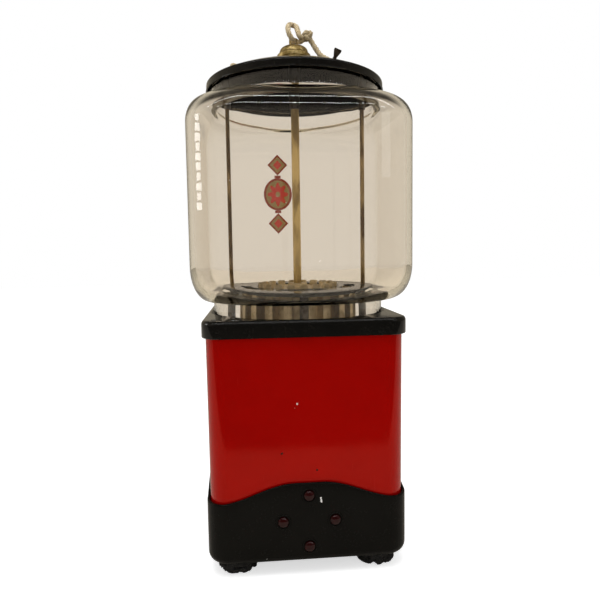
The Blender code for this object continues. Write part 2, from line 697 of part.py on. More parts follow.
def make_pan(root):
    """The flat bottom pan and the hexagonal nut that clamps it to the centre rod."""
    angles = square_angles(PAN_HALF, PAN_CORNER, 4, 1)
    loops = [
        square_loop(PAN_HALF, PAN_CORNER, PAN_BOTTOM, angles),
        square_loop(PAN_HALF, PAN_CORNER, PAN_TOP, angles),
        round_loop(ROD_RADIUS + GAP, PAN_TOP, angles),
        round_loop(ROD_RADIUS + GAP, PAN_BOTTOM, angles),
    ]
    place("bottom_pan", loft(loops, ring=True), "black_paint", root)
    corner_radius = ROD_NUT_ACROSS / 2 / math.cos(math.pi / 6)
    hexagon = [(corner_radius * math.cos(a), corner_radius * math.sin(a)) for a in even_angles(6)]
    top = PAN_BOTTOM - GAP
    nut = place("rod_bottom_nut", extruded(hexagon, top - ROD_NUT_HEIGHT, top), "dark_steel", root)
    bore = cutter("nut_bore", cylinder(ROD_RADIUS + GAP, 0, PAN_TOP), root)
    combine(nut, bore, "DIFFERENCE")


def make_body(root):
    """The red sheet-metal shell: four walls in one, with the front wall open for the coin front."""
    angles = square_angles(BODY_HALF_TOP, BODY_CORNER)
    inner_corner = BODY_CORNER - BODY_WALL
    loops = [
        square_loop(BODY_HALF_BOTTOM, BODY_CORNER, BODY_BOTTOM, angles),
        square_loop(BODY_HALF_TOP, BODY_CORNER, BODY_TOP, angles),
        square_loop(BODY_HALF_TOP - BODY_WALL, inner_corner, BODY_TOP, angles),
        square_loop(BODY_HALF_BOTTOM - BODY_WALL, inner_corner, BODY_BOTTOM, angles),
    ]
    shell = place("body_shell", loft(loops, ring=True), "red_paint", root)
    centre_z = (MOUTH_BOTTOM + MOUTH_TOP) / 2
    opening = rounded_rectangle(MOUTH_HALF, (MOUTH_TOP - MOUTH_BOTTOM) / 2, MOUTH_CORNER)
    depth = BODY_WALL + OVERRUN
    middle_y = -(BODY_HALF_TOP - BODY_WALL / 2)
    cuts = {
        "wall_mouth_cut": (facing_front(extruded(opening, -depth, depth)), (0, middle_y, centre_z)),
        "wall_shaft_cut": (
            facing_front(cylinder(RUNNING_SHAFT_BORE, -depth, depth)), (0, middle_y, SHAFT_Z)
        ),
    }
    slot = rounded_rectangle(SLOT_LENGTH / 2, SLOT_WIDTH / 2, SLOT_WIDTH / 2 - GAP)
    cuts["wall_slot_cut"] = (facing_front(extruded(slot, -depth, depth)), (0, middle_y, FRONT_TOP - SLOT_DROP))
    for i, (x, z) in enumerate(screw_places()):
        hole = facing_front(cylinder(SCREW_RADIUS + GAP, -depth, depth, TINY_STEPS))
        cuts[f"wall_screw_cut_{i + 1}"] = (hole, (x, middle_y, z))
    for name, (bm, at) in cuts.items():
        combine(shell, cutter(name, bm, root, at), "DIFFERENCE")


def make_top_plate(root):
    """The black plate that carries the globe: rolled edge, round recess, well and outlet."""
    angles = square_angles(PLATE_HALF, PLATE_CORNER)
    inner_half = BODY_HALF_TOP + GAP
    loops = [
        square_loop(PLATE_HALF, PLATE_CORNER, PLATE_LOWER_EDGE, angles),
        square_loop(PLATE_HALF, PLATE_CORNER, PLATE_TOP - PLATE_EDGE_ROUND, angles),
    ]
    for i in (1, 2):
        a = math.pi / 2 * i / 2
        inward = (PLATE_HALF - RECESS_RADIUS - RECESS_SLOPE) * (1 - math.cos(a))
        z = PLATE_TOP - PLATE_EDGE_ROUND * (1 - math.sin(a))
        loops.append(square_loop(PLATE_HALF - inward, PLATE_CORNER - inward, z, angles))
    loops += [
        round_loop(RECESS_RADIUS, PLATE_TOP, angles),
        round_loop(RECESS_RADIUS - RECESS_SLOPE, DECK_TOP, angles),
        round_loop(WELL_RADIUS, DECK_TOP, angles),
        round_loop(WELL_RADIUS, DECK_BOTTOM, angles),
        square_loop(inner_half, BODY_CORNER, DECK_BOTTOM, angles),
        square_loop(inner_half, BODY_CORNER, PLATE_LOWER_EDGE, angles),
    ]
    plate = place("top_plate", loft(loops, ring=True), "black_paint", root)
    low, high = DECK_BOTTOM - OVERRUN, DECK_TOP + OVERRUN
    outlet = cutter("outlet_cut", cylinder(OUTLET_RADIUS, low, high), root, (OUTLET_X, OUTLET_Y, 0))
    combine(plate, outlet, "DIFFERENCE")
    for side in (-1, 1):
        name = f"deck_rod_cut_{'left' if side < 0 else 'right'}"
        hole = cutter(name, cylinder(SIDE_ROD_RADIUS + GAP, low, high, TINY_STEPS), root)
        hole.location.x = side * SIDE_ROD_OFFSET
        hole.rotation_euler.z = math.pi / TINY_STEPS
        combine(plate, hole, "DIFFERENCE")


def globe_rows(offset):
    """Half width and corner radius of the globe at each height, from the foot up, for one skin."""
    bottom_centre = GLOBE_LOWER_BEND_TOP
    top_centre = GLOBE_UPPER_BEND_START
    foot, neck = GLOBE_FOOT_RADIUS - offset, GLOBE_NECK_RADIUS - offset
    half, corner = GLOBE_HALF - offset, GLOBE_CORNER - offset
    lower, upper = GLOBE_LOWER_BEND - offset, GLOBE_UPPER_BEND - offset
    rows = []
    low_span = math.acos(1 - (half - foot) / lower)
    high_span = math.acos(1 - (half - neck) / upper)
    for i in range(GLOBE_BEND_ROWS + 1):
        a = low_span * (1 - i / GLOBE_BEND_ROWS)
        share = (1 - math.cos(a)) / (1 - math.cos(low_span))
        width = half - lower * (1 - math.cos(a))
        rows.append((width, corner + (width - corner) * share ** 0.8, bottom_centre - lower * math.sin(a)))
    for i in range(GLOBE_BEND_ROWS + 1):
        a = high_span * i / GLOBE_BEND_ROWS
        share = (1 - math.cos(a)) / (1 - math.cos(high_span))
        width = half - upper * (1 - math.cos(a))
        rows.append((width, corner + (width - corner) * share ** 0.8, top_centre + upper * math.sin(a)))
    return foot, neck, rows


def make_globe(root):
    """The glass globe: a rounded square jar, open at its round mouth and at its round foot."""
    angles = square_angles(GLOBE_HALF, GLOBE_CORNER)
    skins = []
    for offset in (0.0, GLOBE_WALL):
        foot, neck, rows = globe_rows(offset)
        rim = GLOBE_RIM_ROUND
        inward = rim if offset == 0 else -rim
        loops = [
            round_loop(foot - inward, GLOBE_BOTTOM, angles),
            round_loop(foot, GLOBE_BOTTOM + rim, angles),
        ]
        loops += [square_loop(half, corner, z, angles) for half, corner, z in rows]
        loops += [
            round_loop(neck, GLOBE_TOP - rim, angles),
            round_loop(neck - inward, GLOBE_TOP, angles),
        ]
        skins.append(loops)
    place("globe", loft(skins[0] + list(reversed(skins[1])), ring=True), "clear_glass", root)
    foot_inner = GLOBE_FOOT_RADIUS - GLOBE_WALL
    foot_ring = tube(
        foot_inner, GLOBE_FOOT_RADIUS, FOOT_GASKET_BOTTOM, FOOT_GASKET_BOTTOM + FOOT_GASKET_THICKNESS, NUT_STEPS
    )
    place("foot_gasket", foot_ring, "black_rubber", root)


def make_rods(root):
    """The brass centre rod and the two thin side rods that stand in the top plate."""
    rod = [
        (0, ROD_BOTTOM), (ROD_RADIUS - BLEND, ROD_BOTTOM), (ROD_RADIUS, ROD_BOTTOM + BLEND),
        (ROD_RADIUS, ROD_TOP - BLEND), (ROD_RADIUS - BLEND, ROD_TOP), (0, ROD_TOP),
    ]
    place("centre_rod", turned(rod, SMALL_STEPS), "old_brass", root)
    for side, where in ((-1, "left"), (1, "right")):
        bar = cylinder(SIDE_ROD_RADIUS, DECK_BOTTOM, SIDE_ROD_TOP, TINY_STEPS)
        place(f"side_rod_{where}", bar, "old_brass", root, (side * SIDE_ROD_OFFSET, 0, 0))


def make_hopper(root):
    """The black hopper plate with its feed windows, on four posts."""
    profile = [
        (HOPPER_HOLE_RADIUS, HOPPER_BOTTOM), (HOPPER_RADIUS - HOPPER_LIP, HOPPER_BOTTOM),
        (HOPPER_RADIUS - HOPPER_LIP / 2, HOPPER_BOTTOM - HOPPER_LIP), (HOPPER_RADIUS, HOPPER_BOTTOM - HOPPER_LIP),
        (HOPPER_RADIUS, HOPPER_TOP - BLEND), (HOPPER_RADIUS - BLEND, HOPPER_TOP), (HOPPER_HOLE_RADIUS, HOPPER_TOP),
    ]
    plate = place("hopper_plate", turned(profile, 2 * SMALL_STEPS), "black_paint", root)
    for i, middle in enumerate(FEED_ANGLES):
        arc = [middle + FEED_ARC_HALF * share for share in (-1, -0.5, 0, 0.5, 1)]
        outline = [(FEED_OUTER_RADIUS * math.cos(a), FEED_OUTER_RADIUS * math.sin(a)) for a in arc]
        outline += [(FEED_INNER_RADIUS * math.cos(a), FEED_INNER_RADIUS * math.sin(a)) for a in reversed(arc)]
        window = extruded(outline, HOPPER_BOTTOM - OVERRUN, HOPPER_TOP + OVERRUN)
        combine(plate, cutter(f"feed_window_{i + 1}", window, root), "DIFFERENCE")
    for side, where in ((-1, "left"), (1, "right")):
        bar = cylinder(SIDE_ROD_RADIUS + GAP, HOPPER_BOTTOM - OVERRUN, HOPPER_TOP + OVERRUN, TINY_STEPS)
        at = (side * SIDE_ROD_OFFSET, 0, 0)
        hole = cutter(f"hopper_rod_cut_{where}", bar, root, at)
        hole.rotation_euler.z = math.pi / TINY_STEPS
        combine(plate, hole, "DIFFERENCE")
        spacer = tube(SIDE_ROD_RADIUS + GAP, POST_RADIUS, DECK_TOP + GAP, HOPPER_BOTTOM - GAP, TINY_STEPS)
        place(f"hopper_post_{where}", spacer, "dark_steel", root, at)
    for side, where in ((-1, "front"), (1, "back")):
        post = cylinder(POST_RADIUS, DECK_TOP + GAP, HOPPER_BOTTOM - GAP, TINY_STEPS)
        place(f"hopper_post_{where}", post, "dark_steel", root, (0, side * POST_OFFSET, 0))


def stepped_ring(inner, outer, stations):
    """A ring whose lower and upper edges step from station to station: (angle, low, high) each."""
    rows = []
    for angle, low, high in stations:
        c, s = math.cos(angle), math.sin(angle)
        rows.append([
            Vector((inner * c, inner * s, low)), Vector((outer * c, outer * s, low)),
            Vector((outer * c, outer * s, high)), Vector((inner * c, inner * s, high)),
        ])
    return loft(rows, ring=True)


def crown_stations():
    """The crown of upright fins on the dispensing wheel: high on each fin and low between them."""
    pitch = 2 * math.pi / POCKETS
    low, floor, tip = WHEEL_TOP - BLEND, WHEEL_TOP + CROWN_BASE, CROWN_TOP
    half = pitch * CROWN_FIN_SHARE / 2
    edge = pitch * 0.02
    for i in range(POCKETS):
        middle = GAP_FACES + pitch * (i + 0.5)
        yield middle - half - edge, low, floor
        yield middle - half + edge, low, tip
        yield middle + half - edge, low, tip
        yield middle + half + edge, low, floor


def face_gear_stations():
    """The teeth under the dispensing wheel, as the lower edge of a ring."""
    pitch = 2 * math.pi / FACE_TEETH
    thick = pitch * TOOTH_SHARE / 2
    lean = math.tan(PRESSURE_ANGLE) / FACE_PITCH
    at_tip, at_root = thick - ADDENDUM * lean, thick + DEDENDUM * lean
    tip, root, high = FACE_PITCH_Z - ADDENDUM, FACE_PITCH_Z + DEDENDUM, FACE_PITCH_Z + DEDENDUM + 2 * BLEND
    for i in range(FACE_TEETH):
        middle = -math.pi / 2 + pitch * i
        yield middle - at_root, root, high
        yield middle - at_tip, tip, high
        yield middle + at_tip, tip, high
        yield middle + at_root, root, high


def fin_outline():
    """Outline of the pocketed rim: a fin between every two pockets."""
    pitch = 2 * math.pi / POCKETS
    half = pitch * FIN_SHARE / 2
    points = []
    for i in range(POCKETS):
        middle = GAP_FACES + pitch * (i + 0.5)
        for radius, angle in (
            (WHEEL_WALL_RADIUS - BLEND, middle - half * 1.2), (WHEEL_RADIUS, middle - half),
            (WHEEL_RADIUS, middle + half),
            (WHEEL_WALL_RADIUS - BLEND, middle + half * 1.2),
        ):
            points.append((radius * math.cos(angle), radius * math.sin(angle)))
    return points


def make_wheel(spin):
    """The dispensing wheel: pocketed rim, web, hub, crown of fins and a face gear underneath."""
    skirt_bottom = FACE_PITCH_Z + DEDENDUM + BLEND
    hub_bottom = DECK_BOTTOM
    bore = ROD_RADIUS + GAP
    profile = [
        (bore, hub_bottom), (WHEEL_HUB_RADIUS, hub_bottom), (WHEEL_HUB_RADIUS, WHEEL_WEB_BOTTOM),
        (WHEEL_INNER_RADIUS, WHEEL_WEB_BOTTOM), (WHEEL_INNER_RADIUS, skirt_bottom),
        (FACE_GEAR_OUTER, skirt_bottom), (FACE_GEAR_OUTER, WHEEL_BOTTOM), (WHEEL_WALL_RADIUS, WHEEL_BOTTOM),
        (WHEEL_WALL_RADIUS, WHEEL_TOP), (WHEEL_HUB_RADIUS, WHEEL_TOP),
        (WHEEL_HUB_RADIUS, WHEEL_HUB_TOP - BLEND), (WHEEL_HUB_RADIUS - BLEND, WHEEL_HUB_TOP), (bore, WHEEL_HUB_TOP),
    ]
    wheel = place("dispensing_wheel", turned(profile, 2 * SMALL_STEPS), "cast_metal", spin)
    rim = extruded(fin_outline(), WHEEL_BOTTOM + BLEND / 2, WHEEL_TOP - BLEND / 2)
    core = cylinder(WHEEL_WALL_RADIUS - 2 * BLEND, 0, GLOBE_TOP, 2 * SMALL_STEPS)
    rim_obj = cutter("wheel_rim", rim, spin)
    combine(rim_obj, cutter("wheel_rim_core", core, spin), "DIFFERENCE")
    combine(wheel, rim_obj, "UNION")
    crown = stepped_ring(CROWN_RADIUS - CROWN_WALL, CROWN_RADIUS, list(crown_stations()))
    combine(wheel, cutter("wheel_crown", crown, spin), "UNION")
    teeth = stepped_ring(FACE_GEAR_INNER + BLEND / 4, FACE_GEAR_OUTER - BLEND / 4, list(face_gear_stations()))
    combine(wheel, cutter("wheel_teeth", teeth, spin), "UNION")


def gear_outline(teeth, phase):
    """Outline of a spur gear with involute flanks, a tooth or a gap at the top as the phase says."""
    pitch = GEAR_MODULE * teeth / 2
    base = pitch * math.cos(PRESSURE_ANGLE)
    low, high = pitch - DEDENDUM, pitch + ADDENDUM
    half = math.pi * TOOTH_SHARE / teeth

    def involute(angle):
        """How far an involute has turned at a pressure angle."""
        return math.tan(angle) - angle

    flank = []
    for i in range(FLANK_STEPS + 1):
        radius = low + (high - low) * i / FLANK_STEPS
        lean = math.acos(base / max(radius, base))
        flank.append((radius, half + involute(PRESSURE_ANGLE) - involute(lean)))
    points = []
    for i in range(teeth):
        middle = phase + 2 * math.pi * i / teeth
        tooth = [(r, middle - a) for r, a in flank] + [(r, middle + a) for r, a in reversed(flank)]
        points += [(r * math.cos(a), r * math.sin(a)) for r, a in tooth]
    return points


def gear_on_y(teeth, phase, bore, hub):
    """A spur gear along Y with its hub towards the bracket, about its own axis."""
    outline = gear_outline(teeth, phase)
    bm = facing_front(extruded(outline, -GEAR_REAR, -GEAR_FRONT))
    hub_bm = facing_front(cylinder(hub, -GEAR_REAR - GEAR_FACE / 2 + GEAR_FACE, -BRACKET_REAR - GAP))
    bore_bm = facing_front(cylinder(bore, 0, BODY_HALF_TOP))
    return bm, hub_bm, bore_bm


def make_gears(drive, idler, root):
    """The drive gear on the handle's shaft, and the idler that passes its turn up to the wheel."""
    for name, carrier, teeth, phase, bore, hub in (
        ("drive_gear", drive, DRIVE_TEETH, math.pi / 2, RUNNING_SHAFT_BORE, GEAR_HUB_RADIUS),
        ("idler_gear", idler, IDLER_TEETH, math.pi / 2 + math.pi / IDLER_TEETH, AXLE_RADIUS + GAP, IDLER_HUB_RADIUS),
    ):
        bm, hub_bm, bore_bm = gear_on_y(teeth, phase, bore, hub)
        gear = place(name, bm, "cast_metal", carrier)
        combine(gear, cutter(f"{name}_hub", hub_bm, carrier), "UNION")
        combine(gear, cutter(f"{name}_bore", bore_bm, carrier), "DIFFERENCE")
    front, rear = -(BRACKET_FRONT - GAP), -(GEAR_REAR + GAP)
    axle = [
        (0, rear - AXLE_HEAD), (AXLE_HEAD_RADIUS, rear - AXLE_HEAD), (AXLE_HEAD_RADIUS, rear),
        (AXLE_RADIUS, rear), (AXLE_RADIUS, front), (AXLE_HEAD_RADIUS, front),
        (AXLE_HEAD_RADIUS, front + AXLE_HEAD), (0, front + AXLE_HEAD),
    ]
    place("idler_axle", facing_front(turned(axle, TINY_STEPS)), "dark_steel", root, (0, 0, IDLER_Z))


def make_bracket(root):
    """The bent bracket behind the front wall that carries the shaft's end and the idler's axle."""
    front = WALL_INSIDE + GAP
    low, high = BRACKET_BOTTOM, BRACKET_TOP
    profile = [
        (front, low), (BRACKET_REAR, low), (BRACKET_REAR, high), (front, high),
        (front, high - BRACKET_SHEET), (BRACKET_FRONT, high - BRACKET_SHEET),
        (BRACKET_FRONT, low + BRACKET_SHEET), (front, low + BRACKET_SHEET),
    ]
    loops = [[Vector((x, y, z)) for y, z in profile] for x in (BRACKET_LEFT, BRACKET_RIGHT)]
    bracket = place("gear_bracket", loft(loops, ring=False), "dark_steel", root)
    for name, radius, z in (("shaft_bearing", RUNNING_SHAFT_BORE, SHAFT_Z), ("axle_seat", AXLE_RADIUS + GAP, IDLER_Z)):
        hole = facing_front(cylinder(radius, -BRACKET_REAR - OVERRUN, -BRACKET_FRONT + OVERRUN))
        combine(bracket, cutter(name, hole, root, (0, 0, z)), "DIFFERENCE")


def make_shaft(drive):
    """The handle's shaft and the notched coin wheel that it turns behind the front wall."""
    shaft = facing_front(cylinder(SHAFT_RADIUS, -SHAFT_REAR_Y, -SHAFT_FRONT_Y))
    place("handle_shaft", shaft, "dark_steel", drive)
    near = -(WALL_INSIDE + COIN_WHEEL_SETBACK)
    far = near - COIN_WHEEL_THICKNESS
    wheel = place("coin_wheel", facing_front(cylinder(COIN_WHEEL_RADIUS, far, near, NUT_STEPS)), "cast_metal", drive)
    bore = facing_front(cylinder(RUNNING_SHAFT_BORE, far - OVERRUN, near + OVERRUN))
    combine(wheel, cutter("coin_wheel_bore", bore, drive), "DIFFERENCE")
    notch = facing_front(cylinder(COIN_NOTCH_RADIUS, far - OVERRUN, near + OVERRUN))
    at = (0, 0, COIN_WHEEL_RADIUS)
    combine(wheel, cutter("coin_notch", notch, drive, at), "DIFFERENCE")


def wing_outline():
    """Outline of the handle's two wings: narrow at the boss and full at the tips."""
    points = []
    for side in (1, -1):
        for i in range(9):
            a = -math.pi / 2 + math.pi * i / 8
            x = HANDLE_HALF_SPAN - HANDLE_WING_TIP + HANDLE_WING_TIP * math.cos(a)
            points.append((side * x, side * HANDLE_WING_TIP * math.sin(a)))
        points.append((0, side * HANDLE_WING_WAIST))
    return points


def make_handle(drive):
    """The winged turning handle with its round boss."""
    back, front = -HANDLE_BACK_Y, -HANDLE_FRONT_Y
    boss = [
        (0, back), (HANDLE_BOSS_RADIUS, back), (HANDLE_BOSS_RADIUS, back + HANDLE_WING_DEPTH / 2),
        (HANDLE_NOSE_RADIUS, front - HANDLE_EDGE), (HANDLE_NOSE_RADIUS - HANDLE_EDGE, front), (0, front),
    ]
    handle = place("turn_handle", facing_front(turned(boss, ROUND_STEPS)), "bright_plating", drive)
    wings = bevelled(extruded(wing_outline(), back + BLEND, back + HANDLE_WING_DEPTH), HANDLE_EDGE, (0, 0, 1))
    combine(handle, cutter("handle_wings", facing_front(wings), drive), "UNION")
    bore = facing_front(cylinder(RUNNING_SHAFT_BORE, back - OVERRUN, -SHAFT_FRONT_Y + GAP))
    combine(handle, cutter("handle_bore", bore, drive), "DIFFERENCE")


def screw_places():
    """Where the front plate's four screws go, across and up."""
    x = FRONT_HALF - SCREW_INSET
    for z in (FRONT_TOP - SCREW_INSET, FRONT_BOTTOM + SCREW_INSET):
        yield -x, z
        yield x, z


def make_front_plate(root):
    """The cast coin front: dial ring, framed coin slot, chute mouth and the flap's two ears."""
    middle = (FRONT_TOP + FRONT_BOTTOM) / 2
    outline = rounded_rectangle(FRONT_HALF, (FRONT_TOP - FRONT_BOTTOM) / 2, FRONT_CORNER, 4)
    blank = bevelled(extruded(outline, 0, FRONT_THICKNESS), FRONT_EDGE, (0, 0, 1))
    plate = place("coin_front", facing_front(blank), "bright_plating", root, (0, FRONT_BACK_Y, middle))
    base = FRONT_THICKNESS - BLEND
    ring = tube(DIAL_INNER, DIAL_OUTER, base, FRONT_THICKNESS + DIAL_HEIGHT, NUT_STEPS)
    slot_z = FRONT_TOP - SLOT_DROP
    frame = extruded(
        rounded_rectangle(SLOT_LENGTH / 2 + SLOT_FRAME, SLOT_WIDTH / 2 + SLOT_FRAME, SLOT_FRAME),
        base, FRONT_THICKNESS + SLOT_FRAME_HEIGHT,
    )
    additions = [
        ("dial_ring", facing_front(ring), (0, FRONT_BACK_Y, SHAFT_Z)),
        ("slot_frame", facing_front(frame), (0, FRONT_BACK_Y, slot_z)),
    ]
    for side, where in ((-1, "left"), (1, "right")):
        near = FLAP_HALF + GAP
        ear = block(
            (min(side * near, side * (near + EAR_WIDTH)), PIN_Y - KNUCKLE_RADIUS, PIN_Z - EAR_HALF_HEIGHT),
            (max(side * near, side * (near + EAR_WIDTH)), FRONT_FACE_Y + BLEND, PIN_Z + EAR_HALF_HEIGHT),
        )
        additions.append((f"flap_ear_{where}", bevelled(ear, BLEND), (0, 0, 0)))
    for name, bm, at in additions:
        combine(plate, cutter(name, bm, root, at), "UNION")
    deep = FRONT_THICKNESS + OVERRUN
    slot = rounded_rectangle(SLOT_LENGTH / 2, SLOT_WIDTH / 2, SLOT_WIDTH / 2 - GAP)
    mouth = rounded_rectangle(MOUTH_HALF, (MOUTH_TOP - MOUTH_BOTTOM) / 2, MOUTH_CORNER)
    cuts = [
        ("slot_cut", facing_front(extruded(slot, -OVERRUN, deep)), (0, FRONT_BACK_Y, slot_z)),
        ("shaft_cut", facing_front(cylinder(RUNNING_SHAFT_BORE, -OVERRUN, deep)), (0, FRONT_BACK_Y, SHAFT_Z)),
        (
            "mouth_cut", facing_front(extruded(mouth, -OVERRUN, deep)),
            (0, FRONT_BACK_Y, (MOUTH_TOP + MOUTH_BOTTOM) / 2),
        ),
    ]
    for i, (x, z) in enumerate(screw_places()):
        hole = facing_front(cylinder(SCREW_RADIUS + GAP, -OVERRUN, deep, TINY_STEPS))
        cuts.append((f"screw_cut_{i + 1}", hole, (x, FRONT_BACK_Y, z)))
    reach = FLAP_HALF + EAR_WIDTH + OVERRUN
    pin_hole = cylinder(PIN_RADIUS + GAP, -reach, reach, TINY_STEPS)
    bmesh.ops.transform(pin_hole, matrix=Matrix.Rotation(math.pi / 2, 4, "Y"), verts=pin_hole.verts)
    cuts.append(("pin_cut", pin_hole, (0, PIN_Y, PIN_Z)))
    for name, bm, at in cuts:
        combine(plate, cutter(name, bm, root, at), "DIFFERENCE")
    make_screws(root)


def make_screws(root):
    """Four round-headed screws through the front plate and the body's wall."""
    profile = [
        (0, -SCREW_LENGTH), (SCREW_RADIUS, -SCREW_LENGTH), (SCREW_RADIUS, GAP), (SCREW_HEAD_RADIUS, GAP),
        (SCREW_HEAD_RADIUS * 0.86, GAP + SCREW_HEAD * 0.6), (0, GAP + SCREW_HEAD),
    ]
    names = ("top_left", "top_right", "bottom_left", "bottom_right")
    for name, (x, z) in zip(names, screw_places()):
        screw = facing_front(turned(profile, STEM_STEPS))
        place(f"front_screw_{name}", screw, "dark_steel", root, (x, FRONT_FACE_Y, z))


def chute_sections(offset):
    """Sections of the chute from the outlet down to the mouth: round above, wide at the mouth."""
    mouth_z = (MOUTH_TOP + MOUTH_BOTTOM) / 2
    top_z = DECK_BOTTOM - GAP
    path = [(OUTLET_X, OUTLET_Y, top_z), (OUTLET_X, OUTLET_Y, CHUTE_STRAIGHT_BOTTOM)]
    end = Vector((0, WALL_INSIDE + GAP, mouth_z))
    start = Vector(path[-1])
    straight = start.z - end.z
    angles = even_angles(SMALL_STEPS, math.pi / SMALL_STEPS)
    sections = []
    for x, y, z in path[:1]:
        sections.append(round_frame(Vector((x, y, z)), 0.0, OUTLET_RADIUS - offset, angles, 0.0, offset))
    for i in range(CHUTE_ROWS):
        t = i / (CHUTE_ROWS - 1)
        drop = Vector((0, 0, -straight * 0.75))
        lead = Vector((0, straight * 0.85, 0))
        a, b, c, d = start, start + drop, end + lead, end
        at = a * (1 - t) ** 3 + 3 * b * t * (1 - t) ** 2 + 3 * c * t * t * (1 - t) + d * t ** 3
        tilt = math.pi / 2 * (3 * t * t - 2 * t ** 3)
        sections.append(round_frame(at, tilt, OUTLET_RADIUS - offset, angles, t, offset))
    return sections


def round_frame(at, tilt, radius, angles, share, offset):
    """One section of the chute: a circle that turns into the mouth's rounded rectangle."""
    half_x, half_z = MOUTH_HALF - offset, (MOUTH_TOP - MOUTH_BOTTOM) / 2 - offset
    points = []
    for a in angles:
        c, s = math.cos(a), math.sin(a)
        fit = 1 / max(abs(c) / half_x, abs(s) / half_z)
        reach = min(fit, math.hypot(half_x, half_z) * 0.9)
        flat_x = c * (radius * (1 - share) + reach * share)
        flat_y = s * (radius * (1 - share) + reach * share)
        points.append(at + Vector((flat_x, flat_y * math.cos(tilt), -flat_y * math.sin(tilt))))
    return points


def make_chute(root):
    """The duct that leads what falls from the wheel to the mouth in the front."""
    outer = chute_sections(0.0)
    inner = chute_sections(CHUTE_WALL)
    place("chute", loft(outer + list(reversed(inner)), ring=True), "cast_metal", root)


def make_flap(root, hinge):
    """The flap over the mouth, its knuckle round the pin, and the pin itself."""
    half = FLAP_HALF
    back = FLAP_SHEET / 2
    sheet = block((-half, -back, -FLAP_DROP), (half, back, 0))
    flap = place("chute_flap", sheet, "bright_plating", hinge)
    across = Matrix.Rotation(math.pi / 2, 4, "Y")
    knuckle = cylinder(KNUCKLE_RADIUS, -half, half)
    lip = cylinder(FLAP_LIP_RADIUS, -half, half)
    bore = cylinder(PIN_RADIUS + GAP, -half - OVERRUN, half + OVERRUN, TINY_STEPS)
    for bm in (knuckle, lip, bore):
        bmesh.ops.transform(bm, matrix=across, verts=bm.verts)
    lip_at = (0, back - FLAP_LIP_RADIUS, -FLAP_DROP)
    combine(flap, cutter("flap_knuckle", knuckle, hinge), "UNION")
    combine(flap, cutter("flap_lip", lip, hinge, lip_at), "UNION")
    combine(flap, cutter("flap_bore", bore, hinge), "DIFFERENCE")
    reach = FLAP_HALF + EAR_WIDTH + GAP
    pin = [
        (0, -reach - PIN_HEAD), (PIN_RADIUS + PIN_HEAD, -reach - PIN_HEAD), (PIN_RADIUS + PIN_HEAD, -reach - GAP),
        (PIN_RADIUS, -reach - GAP), (PIN_RADIUS, reach + PIN_HEAD), (0, reach + PIN_HEAD),
    ]
    pin_bm = turned(pin, TINY_STEPS)
    bmesh.ops.transform(pin_bm, matrix=across, verts=pin_bm.verts)
    place("flap_pin", pin_bm, "dark_steel", root, (0, PIN_Y, PIN_Z))


def dome_height(radius, drop=0.0):
    """Height of the lid's upper skin at a radius, or of a skin that far below it."""
    ball = LID_DOME_RADIUS - drop
    return LID_APEX - LID_DOME_RADIUS + math.sqrt(ball ** 2 - radius ** 2)


def make_lid(lift):
    """The domed lid with its rolled rim, the gasket in it and the sleeves that seat on the rods."""
    shoulder = LID_RADIUS - LID_EDGE_ROUND
    inner_wall = LID_RADIUS - LID_SHEET
    inner_shoulder = shoulder - LID_SHEET
    radii = [shoulder + (LID_HOLE_RADIUS - shoulder) * i / LID_RINGS for i in range(LID_RINGS + 1)]
    outer = [(r, dome_height(r)) for r in radii]
    inner = [(min(r, inner_shoulder), dome_height(min(r, inner_shoulder), LID_SHEET)) for r in reversed(radii)]
    profile = [
        (LID_RADIUS, LID_DOME_BASE - LID_EDGE_ROUND / 2), (LID_RADIUS - LID_EDGE_ROUND / 3, LID_DOME_BASE),
    ]
    profile += outer + inner
    profile += [
        (inner_wall, LID_DOME_BASE - LID_EDGE_ROUND), (inner_wall, LID_RIM_Z + LID_BEAD),
        (inner_wall - LID_BEAD / 2, LID_RIM_Z + LID_BEAD / 2), (inner_wall, LID_RIM_Z),
        (LID_RADIUS, LID_RIM_Z),
        (LID_RADIUS + LID_BEAD / 2, LID_RIM_Z + LID_BEAD / 2), (LID_RADIUS, LID_RIM_Z + LID_BEAD),
    ]
    place("lid", turned(profile, LID_STEPS), "black_paint", lift)
    inner_edge = GLOBE_NECK_RADIUS - GLOBE_WALL
    top = MOUTH_GASKET_BOTTOM + MOUTH_GASKET_THICKNESS
    gasket = [
        (inner_edge, MOUTH_GASKET_BOTTOM), (GLOBE_NECK_RADIUS, MOUTH_GASKET_BOTTOM),
        (GLOBE_NECK_RADIUS, min(top, dome_height(GLOBE_NECK_RADIUS, LID_SHEET) - GAP)), (inner_edge, top),
    ]
    place("mouth_gasket", turned(gasket, NUT_STEPS), "black_rubber", lift)
    boss_inner = ROD_RADIUS + GAP
    boss_top = dome_height(boss_inner + BOSS_WALL, LID_SHEET) - GAP
    boss = tube(boss_inner, boss_inner + BOSS_WALL, SLEEVE_BOTTOM, boss_top)
    place("lid_boss", boss, "dark_steel", lift)
    sleeve_inner = SIDE_ROD_RADIUS + GAP
    sleeve_outer = sleeve_inner + SLEEVE_WALL
    sleeve_top = dome_height(SIDE_ROD_OFFSET + sleeve_outer, LID_SHEET) - GAP
    for side, where in ((-1, "left"), (1, "right")):
        sleeve = tube(sleeve_inner, sleeve_outer, SLEEVE_BOTTOM, sleeve_top, TINY_STEPS)
        place(f"lid_sleeve_{where}", sleeve, "dark_steel", lift, (side * SIDE_ROD_OFFSET, 0, 0))


